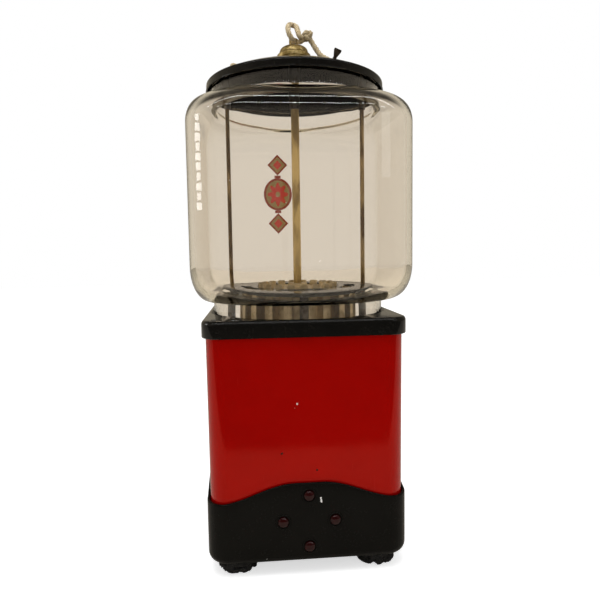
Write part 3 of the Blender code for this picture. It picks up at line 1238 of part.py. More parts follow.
def make_nut(turn):
    """The brass lock nut: deep flange, round crown on a short neck, and a stud drilled for the string."""
    z0 = NUT_BOTTOM
    bore = ROD_RADIUS + GAP
    profile = [
        (bore, z0), (NUT_FLANGE_RADIUS - BLEND, z0), (NUT_FLANGE_RADIUS, z0 + BLEND),
        (NUT_FLANGE_RADIUS, z0 + NUT_FLANGE_HEIGHT), (NUT_NECK_RADIUS, z0 + NUT_FLANGE_HEIGHT + BLEND),
    ]
    for i in range(4):
        a = math.pi / 2 * i / 3
        profile.append((
            NUT_CROWN_RADIUS - NUT_CROWN_ROUND + NUT_CROWN_ROUND * math.cos(a),
            NUT_TOP - NUT_CROWN_ROUND + NUT_CROWN_ROUND * math.sin(a),
        ))
    stud_top = NUT_TOP + STUD_HEIGHT
    profile += [
        (STUD_RADIUS, NUT_TOP), (STUD_RADIUS, stud_top - BLEND), (STUD_RADIUS - BLEND, stud_top), (0, stud_top),
        (0, z0 + NUT_BORE_DEPTH), (bore, z0 + NUT_BORE_DEPTH),
    ]
    nut = place("lock_nut", turned(profile, NUT_STEPS), "old_brass", turn)
    hole = facing_front(cylinder(STUD_HOLE_RADIUS, -STUD_RADIUS - OVERRUN, STUD_RADIUS + OVERRUN))
    at = (0, 0, NUT_TOP + STUD_HOLE_HEIGHT)
    combine(nut, cutter("stud_hole", hole, turn, at), "DIFFERENCE")


def string_points(in_air, on_lid):
    """The route's points in metres: those in the air from the nut's top, those on the lid from its dome."""
    points = [Vector((x * MM, y * MM, NUT_TOP + z * MM)) for x, y, z in in_air]
    for x, y, raised in on_lid:
        radius = math.hypot(x, y) * MM
        points.append(Vector((x * MM, y * MM, dome_height(radius) + STRING_LIFT + raised * MM)))
    return points


def smooth_route(points, step):
    """Even points along a smooth curve through the route's own points."""
    ends = [2 * points[0] - points[1]] + points + [2 * points[-1] - points[-2]]
    fine = []
    for p0, p1, p2, p3 in zip(ends, ends[1:], ends[2:], ends[3:]):
        for i in range(12):
            t = i / 12
            fine.append(0.5 * (
                2 * p1 + (p2 - p0) * t + (2 * p0 - 5 * p1 + 4 * p2 - p3) * t * t
                + (3 * p1 - p0 - 3 * p2 + p3) * t ** 3
            ))
    fine.append(points[-1])
    lengths = [0.0]
    for a, b in zip(fine, fine[1:]):
        lengths.append(lengths[-1] + (b - a).length)
    count = max(2, round(lengths[-1] / step))
    even, k = [], 0
    for i in range(count + 1):
        want = lengths[-1] * i / count
        while k < len(fine) - 2 and lengths[k + 1] < want:
            k += 1
        span = max(lengths[k + 1] - lengths[k], GAP * GAP)
        even.append(fine[k].lerp(fine[k + 1], min((want - lengths[k]) / span, 1.0)))
    return even


def swept(points, radius, past_ends):
    """A round bar along a route, a little past its ends."""
    first = (points[0] - points[1]).normalized() * past_ends
    last = (points[-1] - points[-2]).normalized() * past_ends
    path = [points[0] + first] + points[1:-1] + [points[-1] + last]
    across = (path[1] - path[0]).orthogonal().normalized()
    loops = []
    for i, at in enumerate(path):
        along = (path[min(i + 1, len(path) - 1)] - path[max(i - 1, 0)]).normalized()
        across = (across - along * across.dot(along)).normalized()
        up = along.cross(across)
        loops.append([
            at + (across * math.cos(a) + up * math.sin(a)) * radius for a in even_angles(TINY_STEPS)
        ])
    return loft(loops, ring=False)


def make_string(name, points, turn):
    """One stretch of the string as a round tube along its route, closed at both ends."""
    curve = bpy.data.curves.new(name, "CURVE")
    curve.dimensions = "3D"
    curve.bevel_depth = STRING_RADIUS
    curve.bevel_resolution = CORD_SIDES_RESOLUTION
    curve.use_fill_caps = True
    spline = curve.splines.new("POLY")
    spline.points.add(len(points) - 1)
    for point, place_at in zip(spline.points, points):
        point.co = (*place_at, 1)
    return place_data(name, curve, "cotton", turn)


def make_strings(turn):
    """The cotton string tied through the stud: upright loop, knot, tail, short end and the clip."""
    loop = smooth_route(string_points(LOOP_ROUTE, []), STRING_STEP * 0.8)
    tail = smooth_route(string_points(TAIL_FALL_ROUTE, TAIL_LID_ROUTE), STRING_STEP)
    end = smooth_route(string_points(END_FALL_ROUTE, END_LID_ROUTE), STRING_STEP * 1.4)
    make_string("string_loop", loop, turn)
    make_string("string_tail", tail, turn)
    make_string("string_short_end", end, turn)
    x, y, z = (value * MM for value in KNOT_CENTRE)
    knot = bmesh.new()
    bmesh.ops.create_uvsphere(knot, u_segments=TINY_STEPS, v_segments=8, radius=1)
    radii = (KNOT_WIDTH_RADIUS, KNOT_DEPTH_RADIUS, KNOT_HEIGHT_RADIUS)
    bmesh.ops.scale(knot, vec=radii, verts=knot.verts)
    knot_obj = place("string_knot", knot, "cotton", turn, (x, y, NUT_TOP + z))
    for name, path in (("knot_loop_seat", loop[-4:]), ("knot_tail_seat", tail[:4])):
        seat = cutter(name, swept(path, STRING_RADIUS + GAP, GAP), turn)
        combine(knot_obj, seat, "DIFFERENCE")
    make_clip(tail, turn)


def make_clip(tail, turn):
    """The dark wedge-shaped clip pinched on the string's tail, standing up from the lid."""
    k = round(CLIP_AT_SHARE * (len(tail) - 1))
    at, along = tail[k], (tail[k + 1] - tail[k - 1]).normalized()
    up = Vector((0, 0, 1))
    side = up.cross(along).normalized()
    rise = along.cross(side)
    frame = Matrix((along, side, rise)).transposed().to_4x4()
    frame.translation = at
    foot, top = CLIP_COLLAR_RADIUS - BLEND, CLIP_COLLAR_RADIUS + CLIP_HEIGHT
    blade = loft([
        [
            Vector((sx * half, sy * CLIP_THICKNESS / 2, z))
            for sx, sy in ((-1, -1), (1, -1), (1, 1), (-1, 1))
        ]
        for half, z in ((CLIP_FOOT_HALF, foot), (CLIP_TOP_HALF, top))
    ], ring=False)
    collar = cylinder(CLIP_COLLAR_RADIUS, -CLIP_COLLAR_LENGTH / 2, CLIP_COLLAR_LENGTH / 2, SMALL_STEPS)
    across = Matrix.Rotation(math.pi / 2, 4, "Y")
    bmesh.ops.transform(collar, matrix=across, verts=collar.verts)
    clip = place("string_clip", collar, "dark_steel", turn)
    blade_obj = cutter("clip_blade", blade, turn)
    for obj in (clip, blade_obj):
        obj.matrix_local = frame
    seat = cutter("clip_seat", swept(tail[k - 3:k + 4], STRING_RADIUS + GAP, 0), turn)
    combine(clip, blade_obj, "UNION")
    combine(clip, seat, "DIFFERENCE")


def main():
    """Build every sub-part, fixed ones on the machine's axis and moving ones on their joints."""
    clear_scene()
    root = pivot("machine_axis", None, (0, AXIS_Y, 0))
    spin = pivot("wheel_axis", root, (0, 0, 0))
    drive = pivot("handle_axis", root, (0, 0, SHAFT_Z))
    idler = pivot("idler_pivot", root, (0, 0, IDLER_Z))
    lift = pivot("lid_lift", root, (0, 0, 0))
    turn = pivot("nut_axis", lift, (0, 0, 0))
    hinge = pivot("flap_hinge", root, (0, PIN_Y, PIN_Z))
    make_feet(root)
    make_base(root)
    make_jewels(root)
    make_pan(root)
    make_body(root)
    make_top_plate(root)
    make_globe(root)
    make_rods(root)
    make_hopper(root)
    make_wheel(spin)
    make_gears(drive, idler, root)
    make_bracket(root)
    make_shaft(drive)
    make_handle(drive)
    make_front_plate(root)
    make_chute(root)
    make_flap(root, hinge)
    make_lid(lift)
    make_nut(turn)
    make_strings(turn)


main()
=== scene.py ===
"""Looks of a table-top gumball machine: finer pieces, finishes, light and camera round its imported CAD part.

Run in Blender 4.5. Sizes are in millimetres, and become metres where a mesh or a material is made. Only lamps
are placed in metres. Shapes are drawn about the machine's upright axis and moved into the part's own frame when
they become a mesh. The back of the machine faces +Y.
"""

import logging
import random
from dataclasses import dataclass, field
from enum import Enum
from math import acos, atan2, cos, hypot, pi, radians, sin, sqrt, tan
from typing import Callable, Iterable, Iterator, Sequence

import bmesh
import bpy
from mathutils import Matrix, Vector, noise


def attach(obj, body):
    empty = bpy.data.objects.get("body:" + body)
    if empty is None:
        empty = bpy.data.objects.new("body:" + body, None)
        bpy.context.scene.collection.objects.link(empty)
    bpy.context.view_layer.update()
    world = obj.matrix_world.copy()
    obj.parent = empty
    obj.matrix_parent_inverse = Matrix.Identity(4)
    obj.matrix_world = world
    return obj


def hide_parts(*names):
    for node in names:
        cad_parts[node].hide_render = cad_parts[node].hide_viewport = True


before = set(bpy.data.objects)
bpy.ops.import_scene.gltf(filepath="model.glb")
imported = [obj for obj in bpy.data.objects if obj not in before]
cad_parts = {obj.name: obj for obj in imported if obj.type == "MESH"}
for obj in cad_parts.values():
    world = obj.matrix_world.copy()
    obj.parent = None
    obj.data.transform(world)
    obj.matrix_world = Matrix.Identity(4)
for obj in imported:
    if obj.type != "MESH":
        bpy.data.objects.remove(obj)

log = logging.getLogger("gumball_machine")

MM = 0.001
CLEAR = 0.3
AXIS = Vector((0.0, 4.7, 0.0))
UP = Vector((0.0, 0.0, 1.0))
FULL_TURN = 2 * pi
SIDES = ((-1, "left"), (1, "right"))

Pair = tuple[float, float]
Triple = tuple[float, float, float]
Four = tuple[float, float, float, float]
Colour = Triple
Route = tuple[Triple, ...]
Outline = list[Pair]
Loop = list[Vector]
Socket = bpy.types.NodeSocket


class Body(str, Enum):
    """The part's moving and fixed bodies."""

    MACHINE = "machine"
    HANDLE = "handle"
    IDLER = "idler"
    WHEEL = "wheel"
    FLAP = "flap"
    LID = "lid"
    NUT = "nut"


class Slot(str, Enum):
    """The part's material slots."""

    BLACK_PAINT = "black_paint"
    RED_PAINT = "red_paint"
    CLEAR_GLASS = "clear_glass"
    OLD_BRASS = "old_brass"
    DARK_STEEL = "dark_steel"
    CAST_METAL = "cast_metal"
    BRIGHT_PLATING = "bright_plating"
    BLACK_RUBBER = "black_rubber"
    RED_JEWEL = "red_jewel"
    COTTON = "cotton"


class JewelledFace(Enum):
    """Faces of the base skirt that carry jewels, with their turn about the upright axis."""

    BACK = pi / 2
    LEFT = pi
    RIGHT = 0.0


# Finishes


class Bench:
    """Short ways to add and join the nodes of one material or of the room."""

    def __init__(self, owner: bpy.types.Material | bpy.types.World) -> None:
        """Clear a tree and put its output node in.

        Args:
            owner: The material or world to build.
        """
        owner.use_nodes = True
        self.tree = owner.node_tree
        self.tree.nodes.clear()
        room = isinstance(owner, bpy.types.World)
        self.output = self.add("OutputWorld" if room else "OutputMaterial")
        self.place = self.add("TexCoord").outputs["Generated" if room else "Object"]

    def add(self, kind: str, inputs: dict | None = None, **settings: object) -> bpy.types.Node:
        """Add a node.

        Args:
            kind: The node's type, without the words that all shader nodes start with.
            inputs: Values for its sockets, or other nodes' sockets to join to them.
            settings: Properties of the node itself.

        Returns:
            The new node.
        """
        node = self.tree.nodes.new("ShaderNode" + kind)
        for name, value in settings.items():
            setattr(node, name, value)
        for key, value in (inputs or {}).items():
            if isinstance(value, Socket):
                self.tree.links.new(value, node.inputs[key])
            else:
                node.inputs[key].default_value = value
        return node

    def grain(
        self, size: float, detail: float = 3.0, stretch: Triple = (1, 1, 1), at: float = 0.0
    ) -> Socket:
        """Noise whose patches are about one size across.

        Args:
            size: Size of a patch.
            detail: How many finer layers it has.
            stretch: Factors on the coordinates; a small one draws patches out along that axis.
            at: Shifts the pattern, so that two of one size differ.

        Returns:
            The noise value, about 0.5 on average.
        """
        spot = self.add("Mapping", {"Vector": self.place, "Scale": stretch, "Location": (at, at, at)})
        made = self.add(
            "TexNoise",
            {"Vector": spot.outputs[0], "Scale": 1 / (size * MM), "Detail": detail, "Roughness": 0.55},
        )
        return made.outputs["Fac"]

    def cells(self, size: float, feature: str = "F1", output: str = "Distance") -> Socket:
        """Distance to, or a value of, the nearest of scattered points about one size apart."""
        made = self.add("TexVoronoi", {"Vector": self.place, "Scale": 1 / (size * MM)}, feature=feature)
        return made.outputs[output]

    def rise(
        self, value: Socket, low: float, high: float, to: Pair = (0.0, 1.0)
    ) -> Socket:
        """A smooth step of a value between two levels.

        Args:
            value: What is stepped.
            low: Where the step starts.
            high: Where it ends.
            to: What it gives at both ends.

        Returns:
            The stepped value.
        """
        made = self.add(
            "MapRange",
            {"Value": value, "From Min": low, "From Max": high, "To Min": to[0], "To Max": to[1]},
            interpolation_type="SMOOTHSTEP",
        )
        return made.outputs["Result"]

    def sum(self, kind: str, first: object, second: object) -> Socket:
        """A clamped sum, product or other arithmetic of two values."""
        return self.add("Math", {0: first, 1: second}, operation=kind, use_clamp=True).outputs[0]

    def times(self, first: object, second: object) -> Socket:
        """A clamped product of two values."""
        return self.sum("MULTIPLY", first, second)

    def blend(self, share: object, first: object, second: object) -> Socket:
        """A colour between two, by a share from 0 to 1.

        Args:
            share: 0 for the first, 1 for the second.
            first: A colour or a socket.
            second: Another.

        Returns:
            The blend.
        """
        made = self.add("Mix", data_type="RGBA")
        for key, value in ((0, share), (6, first), (7, second)):
            if isinstance(value, Socket):
                self.tree.links.new(value, made.inputs[key])
            elif key == 0:
                made.inputs[key].default_value = value
            else:
                made.inputs[key].default_value = (*value, 1.0)
        return made.outputs[2]

    def bump(
        self, height: Socket, depth: float, onto: Socket | None = None
    ) -> Socket:
        """A bump of a depth, on top of another if one is given.

        Args:
            height: Its height, from 0 to 1.
            depth: What a height of 1 is.
            onto: The bump under it.

        Returns:
            The normal.
        """
        inputs = {"Height": height, "Distance": depth * MM, "Strength": 1.0}
        if onto is not None:
            inputs["Normal"] = onto
        return self.add("Bump", inputs).outputs[0]

    def spot(self, at: Triple, radius: float, ragged: Socket) -> Socket:
        """A ragged round mark on the surface.

        Args:
            at: Its centre in the row frame.
            radius: Its size.
            ragged: Noise that breaks up its edge.

        Returns:
            1 inside the mark and 0 outside it.
        """
        middle, size = tuple(c * MM for c in at), radius * MM
        gap = self.add("VectorMath", {0: self.place, 1: middle}, operation="DISTANCE").outputs["Value"]
        uneven = self.add("Math", {0: ragged, 1: size * 2.2, 2: gap}, operation="MULTIPLY_ADD").outputs[0]
        return self.rise(uneven, size * 2.1, size * 1.9)

    def edge_wear(self, ragged: Socket, reach: float) -> Socket:
        """Where a convex edge is rubbed: sharp edges, broken up by noise."""
        sharp = self.rise(self.add("NewGeometry").outputs["Pointiness"], 0.56 - reach, 0.66 - reach)
        return self.times(sharp, self.rise(ragged, 0.48, 0.62))

    def ray_kinds(self) -> tuple[Socket, Socket, Socket]:
        """Tell looks from reflections.

        Returns:
            Whether a ray looks straight at something, also through glass; whether it is a reflection; and
            whether it left the glass after one.
        """
        path = self.add("LightPath").outputs
        bounced = self.sum("MINIMUM", path["Glossy Depth"], 1.0)
        through = self.times(path["Is Transmission Ray"], self.sum("SUBTRACT", 1.0, bounced))
        leaving = self.times(path["Is Transmission Ray"], bounced)
        return self.sum("MAXIMUM", path["Is Camera Ray"], through), path["Is Glossy Ray"], leaving

    def finish(self, inputs: dict) -> None:
        """Add the surface shader with these sockets and join it to the output."""
        shader = self.add("BsdfPrincipled", inputs)
        self.tree.links.new(shader.outputs[0], self.output.inputs["Surface"])


@dataclass(frozen=True)
class Finish:
    """A finish, named for what it is, that paints one material."""

    name: str
    slot: Slot

    def material(self) -> bpy.types.Material:
        """The finish's material, made the first time it is asked for.

        Returns:
            The material.
        """
        made = bpy.data.materials.get(self.name)
        if made is None:
            made = bpy.data.materials.new(self.name)
            self.paint(Bench(made))
        return made

    def paint(self, bench: Bench) -> None:
        """Build the finish's nodes."""
        raise NotImplementedError


@dataclass(frozen=True)
class Mark:
    """A chip or stain at one place, in the row frame."""

    at: Triple
    radius: float


@dataclass(frozen=True)
class Enamel(Finish):
    """Old stoved enamel: slightly rippled, dusty, scratched and chipped."""

    colour: Colour = (0.01, 0.01, 0.01)
    shade: Colour = (0.006, 0.006, 0.006)
    primer: Colour = (0.55, 0.5, 0.42)
    dust: Colour = (0.1, 0.09, 0.07)
    gloss: float = 0.1
    peel: float = 0.003
    dust_share: float = 0.25
    rubbed: float = 0.3
    specular: float = 0.35
    sheen_tone: Colour = (1.0, 1.0, 1.0)
    chips: tuple[Mark, ...] = ()
    stains: tuple[Mark, ...] = ()

    def paint(self, bench: Bench) -> None:
        """Layer tone, dust, scratches, stains and chips over the enamel's own colour.

        Args:
            bench: Where the material's nodes go.
        """
        cloud = bench.grain(32, 3)
        ragged = bench.grain(1.6, 4)
        fine = bench.grain(0.35, 2, at=3.0)
        tone = bench.blend(bench.rise(cloud, 0.35, 0.7), self.colour, self.shade)
        settled = bench.times(bench.rise(ragged, 0.5, 0.72), bench.rise(bench.grain(11, 2), 0.4, 0.7))
        dusty = bench.times(settled, self.dust_share)
        tone = bench.blend(dusty, tone, self.dust)
        fleck = bench.rise(bench.cells(6), 0.05, 0.035)
        fleck = bench.times(fleck, bench.rise(bench.grain(17, 1, at=7.0), 0.5, 0.56))
        tone = bench.blend(bench.times(fleck, min(self.dust_share * 2.5, 1.0)), tone, self.dust)
        scratch = bench.rise(bench.grain(0.5, 1, (1, 1, 0.03), at=1.0), 0.72, 0.78)
        scratch = bench.times(scratch, bench.rise(cloud, 0.52, 0.6))
        bare = bench.times(bench.edge_wear(ragged, 0.0), self.rubbed)
        for chip in self.chips:
            bare = bench.sum("MAXIMUM", bare, bench.spot(chip.at, chip.radius, ragged))
        tone = bench.blend(bench.times(scratch, self.dust_share), tone, self.dust)
        for stain in self.stains:
            tone = bench.blend(bench.spot(stain.at, stain.radius, ragged), tone, (0.012, 0.006, 0.005))
        tone = bench.blend(bare, tone, self.primer)
        matt = bench.add("Math", {0: settled, 1: 0.22, 2: self.gloss}, operation="MULTIPLY_ADD").outputs[0]
        matt = bench.sum("ADD", matt, bench.times(bench.sum("ADD", bare, scratch), 0.4))
        skin = bench.bump(bench.grain(1.9, 2, at=5.0), self.peel)
        skin = bench.bump(bench.grain(26, 1, at=9.0), self.peel * 14, skin)
        skin = bench.bump(fine, self.peel * 0.35, skin)
        skin = bench.bump(bench.sum("SUBTRACT", 1.0, bare), 0.05, skin)
        bench.finish({
            "Base Color": tone, "Roughness": matt, "Normal": skin, "IOR": 1.5,
            "Specular IOR Level": self.specular, "Specular Tint": (*self.sheen_tone, 1.0),
        })


@dataclass(frozen=True)
class Metal(Finish):
    """Bare or plated metal: brass, cast alloy, nickel or steel, with tarnish in patches."""

    bright: Colour = (0.5, 0.4, 0.2)
    tarnish: Colour = (0.2, 0.14, 0.06)
    grime: Colour = (0.03, 0.025, 0.018)
    patch: float = 9
    stretch: Triple = (1, 1, 1)
    tarnish_from: float = 0.42
    smooth: float = 0.3
    dull: float = 0.5
    pits: float = 0.02
    pit_size: float = 0.7
    grime_share: float = 0.6

    def paint(self, bench: Bench) -> None:
        """Spread tarnish in patches over bright metal, with grime in the hollows and fine pits.

        Args:
            bench: Where the material's nodes go.
        """
        patches = bench.grain(self.patch, 5, self.stretch)
        streaks = bench.grain(0.45, 2, (self.stretch[0], self.stretch[1], self.stretch[2] * 0.2), at=2.0)
        pitted = bench.grain(self.pit_size, 3, at=4.0)
        old = bench.rise(patches, self.tarnish_from, self.tarnish_from + 0.2)
        tone = bench.blend(old, self.bright, self.tarnish)
        tone = bench.blend(bench.times(bench.rise(streaks, 0.5, 0.75), 0.35), tone, self.tarnish)
        hollow = bench.rise(bench.add("NewGeometry").outputs["Pointiness"], 0.49, 0.42)
        spots = bench.rise(pitted, 0.62, 0.74)
        dirty = bench.times(bench.sum("ADD", bench.times(spots, 0.6), hollow), self.grime_share)
        tone = bench.blend(dirty, tone, self.grime)
        matt = bench.blend(old, (self.smooth,) * 3, (self.dull,) * 3)
        matt = bench.sum("ADD", bench.add("RGBToBW", {0: matt}).outputs[0], bench.times(dirty, 0.3))
        skin = bench.bump(pitted, self.pits)
        skin = bench.bump(streaks, self.pits * 0.4, skin)
        bench.finish({"Base Color": tone, "Roughness": matt, "Metallic": 1.0, "Normal": skin})


@dataclass(frozen=True)
class Rubber(Finish):
    """Perished black rubber, cracked and dusty."""

    colour: Colour = (0.012, 0.011, 0.01)
    bloom: Colour = (0.07, 0.06, 0.045)
    cracks: float = 3.5

    def paint(self, bench: Bench) -> None:
        """Crack the skin and lay a pale bloom on it.

        Args:
            bench: Where the material's nodes go.
        """
        crazed = bench.rise(bench.cells(self.cracks, "DISTANCE_TO_EDGE"), 0.02, 0.09)
        crumbs = bench.grain(1.1, 5)
        bloom = bench.times(bench.rise(crumbs, 0.48, 0.75), 0.7)
        tone = bench.blend(bloom, self.colour, self.bloom)
        tone = bench.blend(crazed, (0.004, 0.004, 0.003), tone)
        skin = bench.bump(crumbs, 0.35)
        skin = bench.bump(crazed, 0.25, skin)
        bench.finish({"Base Color": tone, "Roughness": 0.82, "Normal": skin, "Specular IOR Level": 0.35})


@dataclass(frozen=True)
class Jewel(Finish):
    """Dark red pressed glass that light enters a little."""

    colour: Colour = (0.2, 0.004, 0.006)

    def paint(self, bench: Bench) -> None:
        """Paint shade onto the red where the dome turns away from the view, and add a little dirt.

        Args:
            bench: Where the material's nodes go.
        """
        grime = bench.rise(bench.grain(0.8, 4), 0.55, 0.75)
        # Painted shade: the red darkens towards the dome's edges as they turn away from the view.
        facing = bench.add("LayerWeight", {"Blend": 0.4}).outputs["Facing"]
        tone = bench.blend(facing, self.colour, tuple(c * 0.35 for c in self.colour))
        tone = bench.blend(bench.times(grime, 0.25), tone, (0.02, 0.01, 0.008))
        matt = bench.rise(grime, 0.0, 1.0, (0.1, 0.3))
        skin = bench.bump(bench.grain(1.6, 2, at=2.0), 0.05)
        bench.finish({
            "Base Color": tone, "Roughness": matt, "IOR": 1.5, "Normal": skin, "Specular IOR Level": 0.12,
            "Coat Weight": 0.3, "Coat Roughness": 0.02,
        })


@dataclass(frozen=True)
class Cotton(Finish):
    """Soiled white cotton, matt, with fine fibres across its strands and painted shade in the grooves between
    them.
    """

    clean: Colour = (0.63, 0.5, 0.3)
    soil_and_shade: Colour = (0.24, 0.165, 0.07)

    def paint(self, bench: Bench) -> None:
        """Soil the cotton in patches, rib it with fibres and paint shade into the grooves between its strands.

        Args:
            bench: Where the material's nodes go.
        """
        soil = bench.rise(bench.grain(7, 4), 0.42, 0.72)
        fibre = bench.grain(0.22, 3, (1, 1, 0.5), at=1.5)
        # Painted shade: hollows, such as the grooves between the strands, are darkened well below the soil
        # colour.
        shade = bench.rise(bench.add("NewGeometry").outputs["Pointiness"], 0.5, 0.4)
        tone = bench.blend(bench.times(soil, 0.7), self.clean, self.soil_and_shade)
        tone = bench.blend(bench.times(bench.rise(fibre, 0.5, 0.8), 0.35), tone, self.soil_and_shade)
        tone = bench.blend(bench.times(shade, 0.6), tone, tuple(c * 0.4 for c in self.soil_and_shade))
        skin = bench.bump(fibre, 0.12)
        skin = bench.bump(bench.grain(0.9, 3, at=6.0), 0.2, skin)
        bench.finish({
            "Base Color": tone, "Roughness": 0.92, "Normal": skin, "Specular IOR Level": 0.2,
            "Sheen Weight": 0.25, "Sheen Roughness": 0.5,
        })


@dataclass(frozen=True)
class OldGlass(Finish):
    """Pressed glass with a warm tint, slightly wavy and dusty."""

    tint: Colour = (0.858, 0.812, 0.778)
    depth_tint: Colour = (0.81, 0.745, 0.34)
    depth_density: float = 34.0

    def paint(self, bench: Bench) -> None:
        """Tint the glass, ripple its skin, film it with dust and let it turn olive where it is thick.

        Args:
            bench: Where the material's nodes go.
        """
        smear = bench.rise(bench.grain(9, 5), 0.5, 0.8)
        film = bench.times(smear, bench.rise(bench.grain(0.8, 3), 0.45, 0.7))
        tone = bench.blend(bench.times(film, 0.12), self.tint, tuple(c * 0.82 for c in self.tint))
        matt = bench.rise(film, 0.0, 1.0, (0.0, 0.02))
        skin = bench.bump(bench.grain(34, 1, (1, 1, 0.7), at=4.0), 0.035)
        seeds = bench.rise(bench.cells(9), 0.05, 0.02)
        skin = bench.bump(seeds, 0.12, skin)
        bench.finish({
            "Base Color": tone, "Roughness": matt, "IOR": 1.48, "Transmission Weight": 1.0, "Normal": skin,
        })
        olive = {"Color": (*self.depth_tint, 1.0), "Density": self.depth_density}
        thick = bench.add("VolumeAbsorption", olive)
        bench.tree.links.new(thick.outputs[0], bench.output.inputs["Volume"])


@dataclass(frozen=True)
class Print(Finish):
    """Old transfer print on glass: thin translucent colour, crazed and rubbed."""

    colour: Colour = (0.3, 0.02, 0.01)
    thin: Colour = (0.45, 0.3, 0.12)

    def paint(self, bench: Bench) -> None:
        """Wear the print through along fine crazing.

        Args:
            bench: Where the material's nodes go.
        """
        crazed = bench.rise(bench.cells(2.4, "DISTANCE_TO_EDGE"), 0.05, 0.015)
        rubbed = bench.rise(bench.grain(1.3, 4), 0.56, 0.7)
        worn = bench.times(bench.sum("ADD", crazed, rubbed), 0.5)
        tone = bench.blend(worn, self.colour, self.thin)
        bench.finish({
            "Base Color": tone, "Roughness": 0.5, "IOR": 1.08, "Transmission Weight": 0.8,
            "Specular IOR Level": 0.3,
        })


BACK_FACE = 72.1 + AXIS.y
SKIRT_FACE = 74.1 + AXIS.y

BLACK_ENAMEL = Enamel(
    "black_enamel", Slot.BLACK_PAINT, colour=(0.0055, 0.005, 0.004), shade=(0.004, 0.0036, 0.003),
    dust_share=0.09, gloss=0.08, specular=0.25, rubbed=0.0,
)
LID_INSIDE = Enamel(
    "lid_inside_enamel", Slot.BLACK_PAINT, colour=(0.003, 0.0026, 0.002), shade=(0.002, 0.0018, 0.0014),
    gloss=0.7, specular=0.0, dust_share=0.03, rubbed=0.0,
)
SKIRT_ENAMEL = Enamel(
    "skirt_enamel", Slot.BLACK_PAINT, colour=(0.0056, 0.005, 0.0038), shade=(0.0045, 0.004, 0.003),
    primer=(0.85, 0.82, 0.76), gloss=0.22, dust_share=0.012, specular=0.08, rubbed=0.0,
    chips=(
        Mark((-8.5, SKIRT_FACE, 58.0), 0.7), Mark((-8.6, SKIRT_FACE, 57.2), 0.8),
        Mark((-8.7, SKIRT_FACE, 56.4), 0.85), Mark((-8.8, SKIRT_FACE, 55.6), 0.8),
        Mark((-8.9, SKIRT_FACE, 54.9), 0.6), Mark((31.4, SKIRT_FACE, 13.8), 0.6),
    ),
)
RED_ENAMEL = Enamel(
    "red_enamel", Slot.RED_PAINT, colour=(0.365, 0.0008, 0.0001), shade=(0.335, 0.0007, 0.0001),
    primer=(0.72, 0.66, 0.6), dust=(0.2, 0.006, 0.004), gloss=0.08, specular=1.0, dust_share=0.08,
    sheen_tone=(1.0, 0.15, 0.11), rubbed=0.15,
    chips=(Mark((7.6, BACK_FACE, 127.4), 0.8), Mark((9.2, BACK_FACE, 124.4), 0.3)),
    stains=(Mark((19.0, BACK_FACE, 91.2), 1.0), Mark((-6.1, BACK_FACE, 78.1), 0.9)),
)
OLD_BRASS = Metal(
    "old_brass_bar", Slot.OLD_BRASS, bright=(0.84, 0.64, 0.28), tarnish=(0.5, 0.36, 0.15),
    stretch=(1, 1, 0.25),
)
RUSTY_BRASS = Metal(
    "rusty_brass_bar", Slot.OLD_BRASS, bright=(0.5, 0.37, 0.18), tarnish=(0.26, 0.165, 0.075),
    stretch=(1, 1, 0.25), tarnish_from=0.36, smooth=0.4, dull=0.65, pits=0.04,
)
SPUN_BRASS = Metal(
    "spun_brass", Slot.OLD_BRASS, bright=(0.66, 0.5, 0.22), tarnish=(0.34, 0.24, 0.085), patch=5, smooth=0.36,
)
CAST_ALLOY = Metal(
    "cast_alloy", Slot.CAST_METAL, bright=(0.92, 0.79, 0.54), tarnish=(0.76, 0.63, 0.39), patch=6,
    smooth=0.42, dull=0.6, pits=0.05, grime_share=0.6,
)
BROWNED_STEEL = Metal(
    "browned_steel", Slot.DARK_STEEL, bright=(0.05, 0.038, 0.026), tarnish=(0.028, 0.018, 0.011),
    smooth=0.45, dull=0.7,
)
STEEL = Metal(
    "dark_steel_bar", Slot.DARK_STEEL, bright=(0.17, 0.155, 0.13), tarnish=(0.085, 0.06, 0.042), patch=7,
    smooth=0.38, dull=0.6, pits=0.03,
)
PLATING = Metal(
    "nickel_plating", Slot.BRIGHT_PLATING, bright=(0.62, 0.6, 0.55), tarnish=(0.42, 0.38, 0.31), patch=14,
    tarnish_from=0.5, smooth=0.16, dull=0.32, pits=0.006, pit_size=0.5,
)
PERISHED_RUBBER = Rubber("perished_rubber", Slot.BLACK_RUBBER)
GASKET_RUBBER = Rubber("gasket_rubber", Slot.BLACK_RUBBER, colour=(0.02, 0.017, 0.013), cracks=6)
RED_JEWEL = Jewel("red_jewel_glass", Slot.RED_JEWEL, colour=(0.02, 0.0005, 0.0008))
WHITE_COTTON = Cotton("soiled_cotton", Slot.COTTON)
GLASS = OldGlass("warm_glass", Slot.CLEAR_GLASS)
BADGE_RED = Print("badge_red", Slot.CLEAR_GLASS, colour=(0.3, 0.009, 0.002), thin=(0.5, 0.1, 0.03))
BADGE_PETAL = Print("badge_petal", Slot.CLEAR_GLASS, colour=(0.66, 0.01, 0.005), thin=(0.75, 0.08, 0.03))
BADGE_OLIVE = Print("badge_olive", Slot.CLEAR_GLASS, colour=(0.34, 0.23, 0.06), thin=(0.6, 0.45, 0.2))


# Shapes


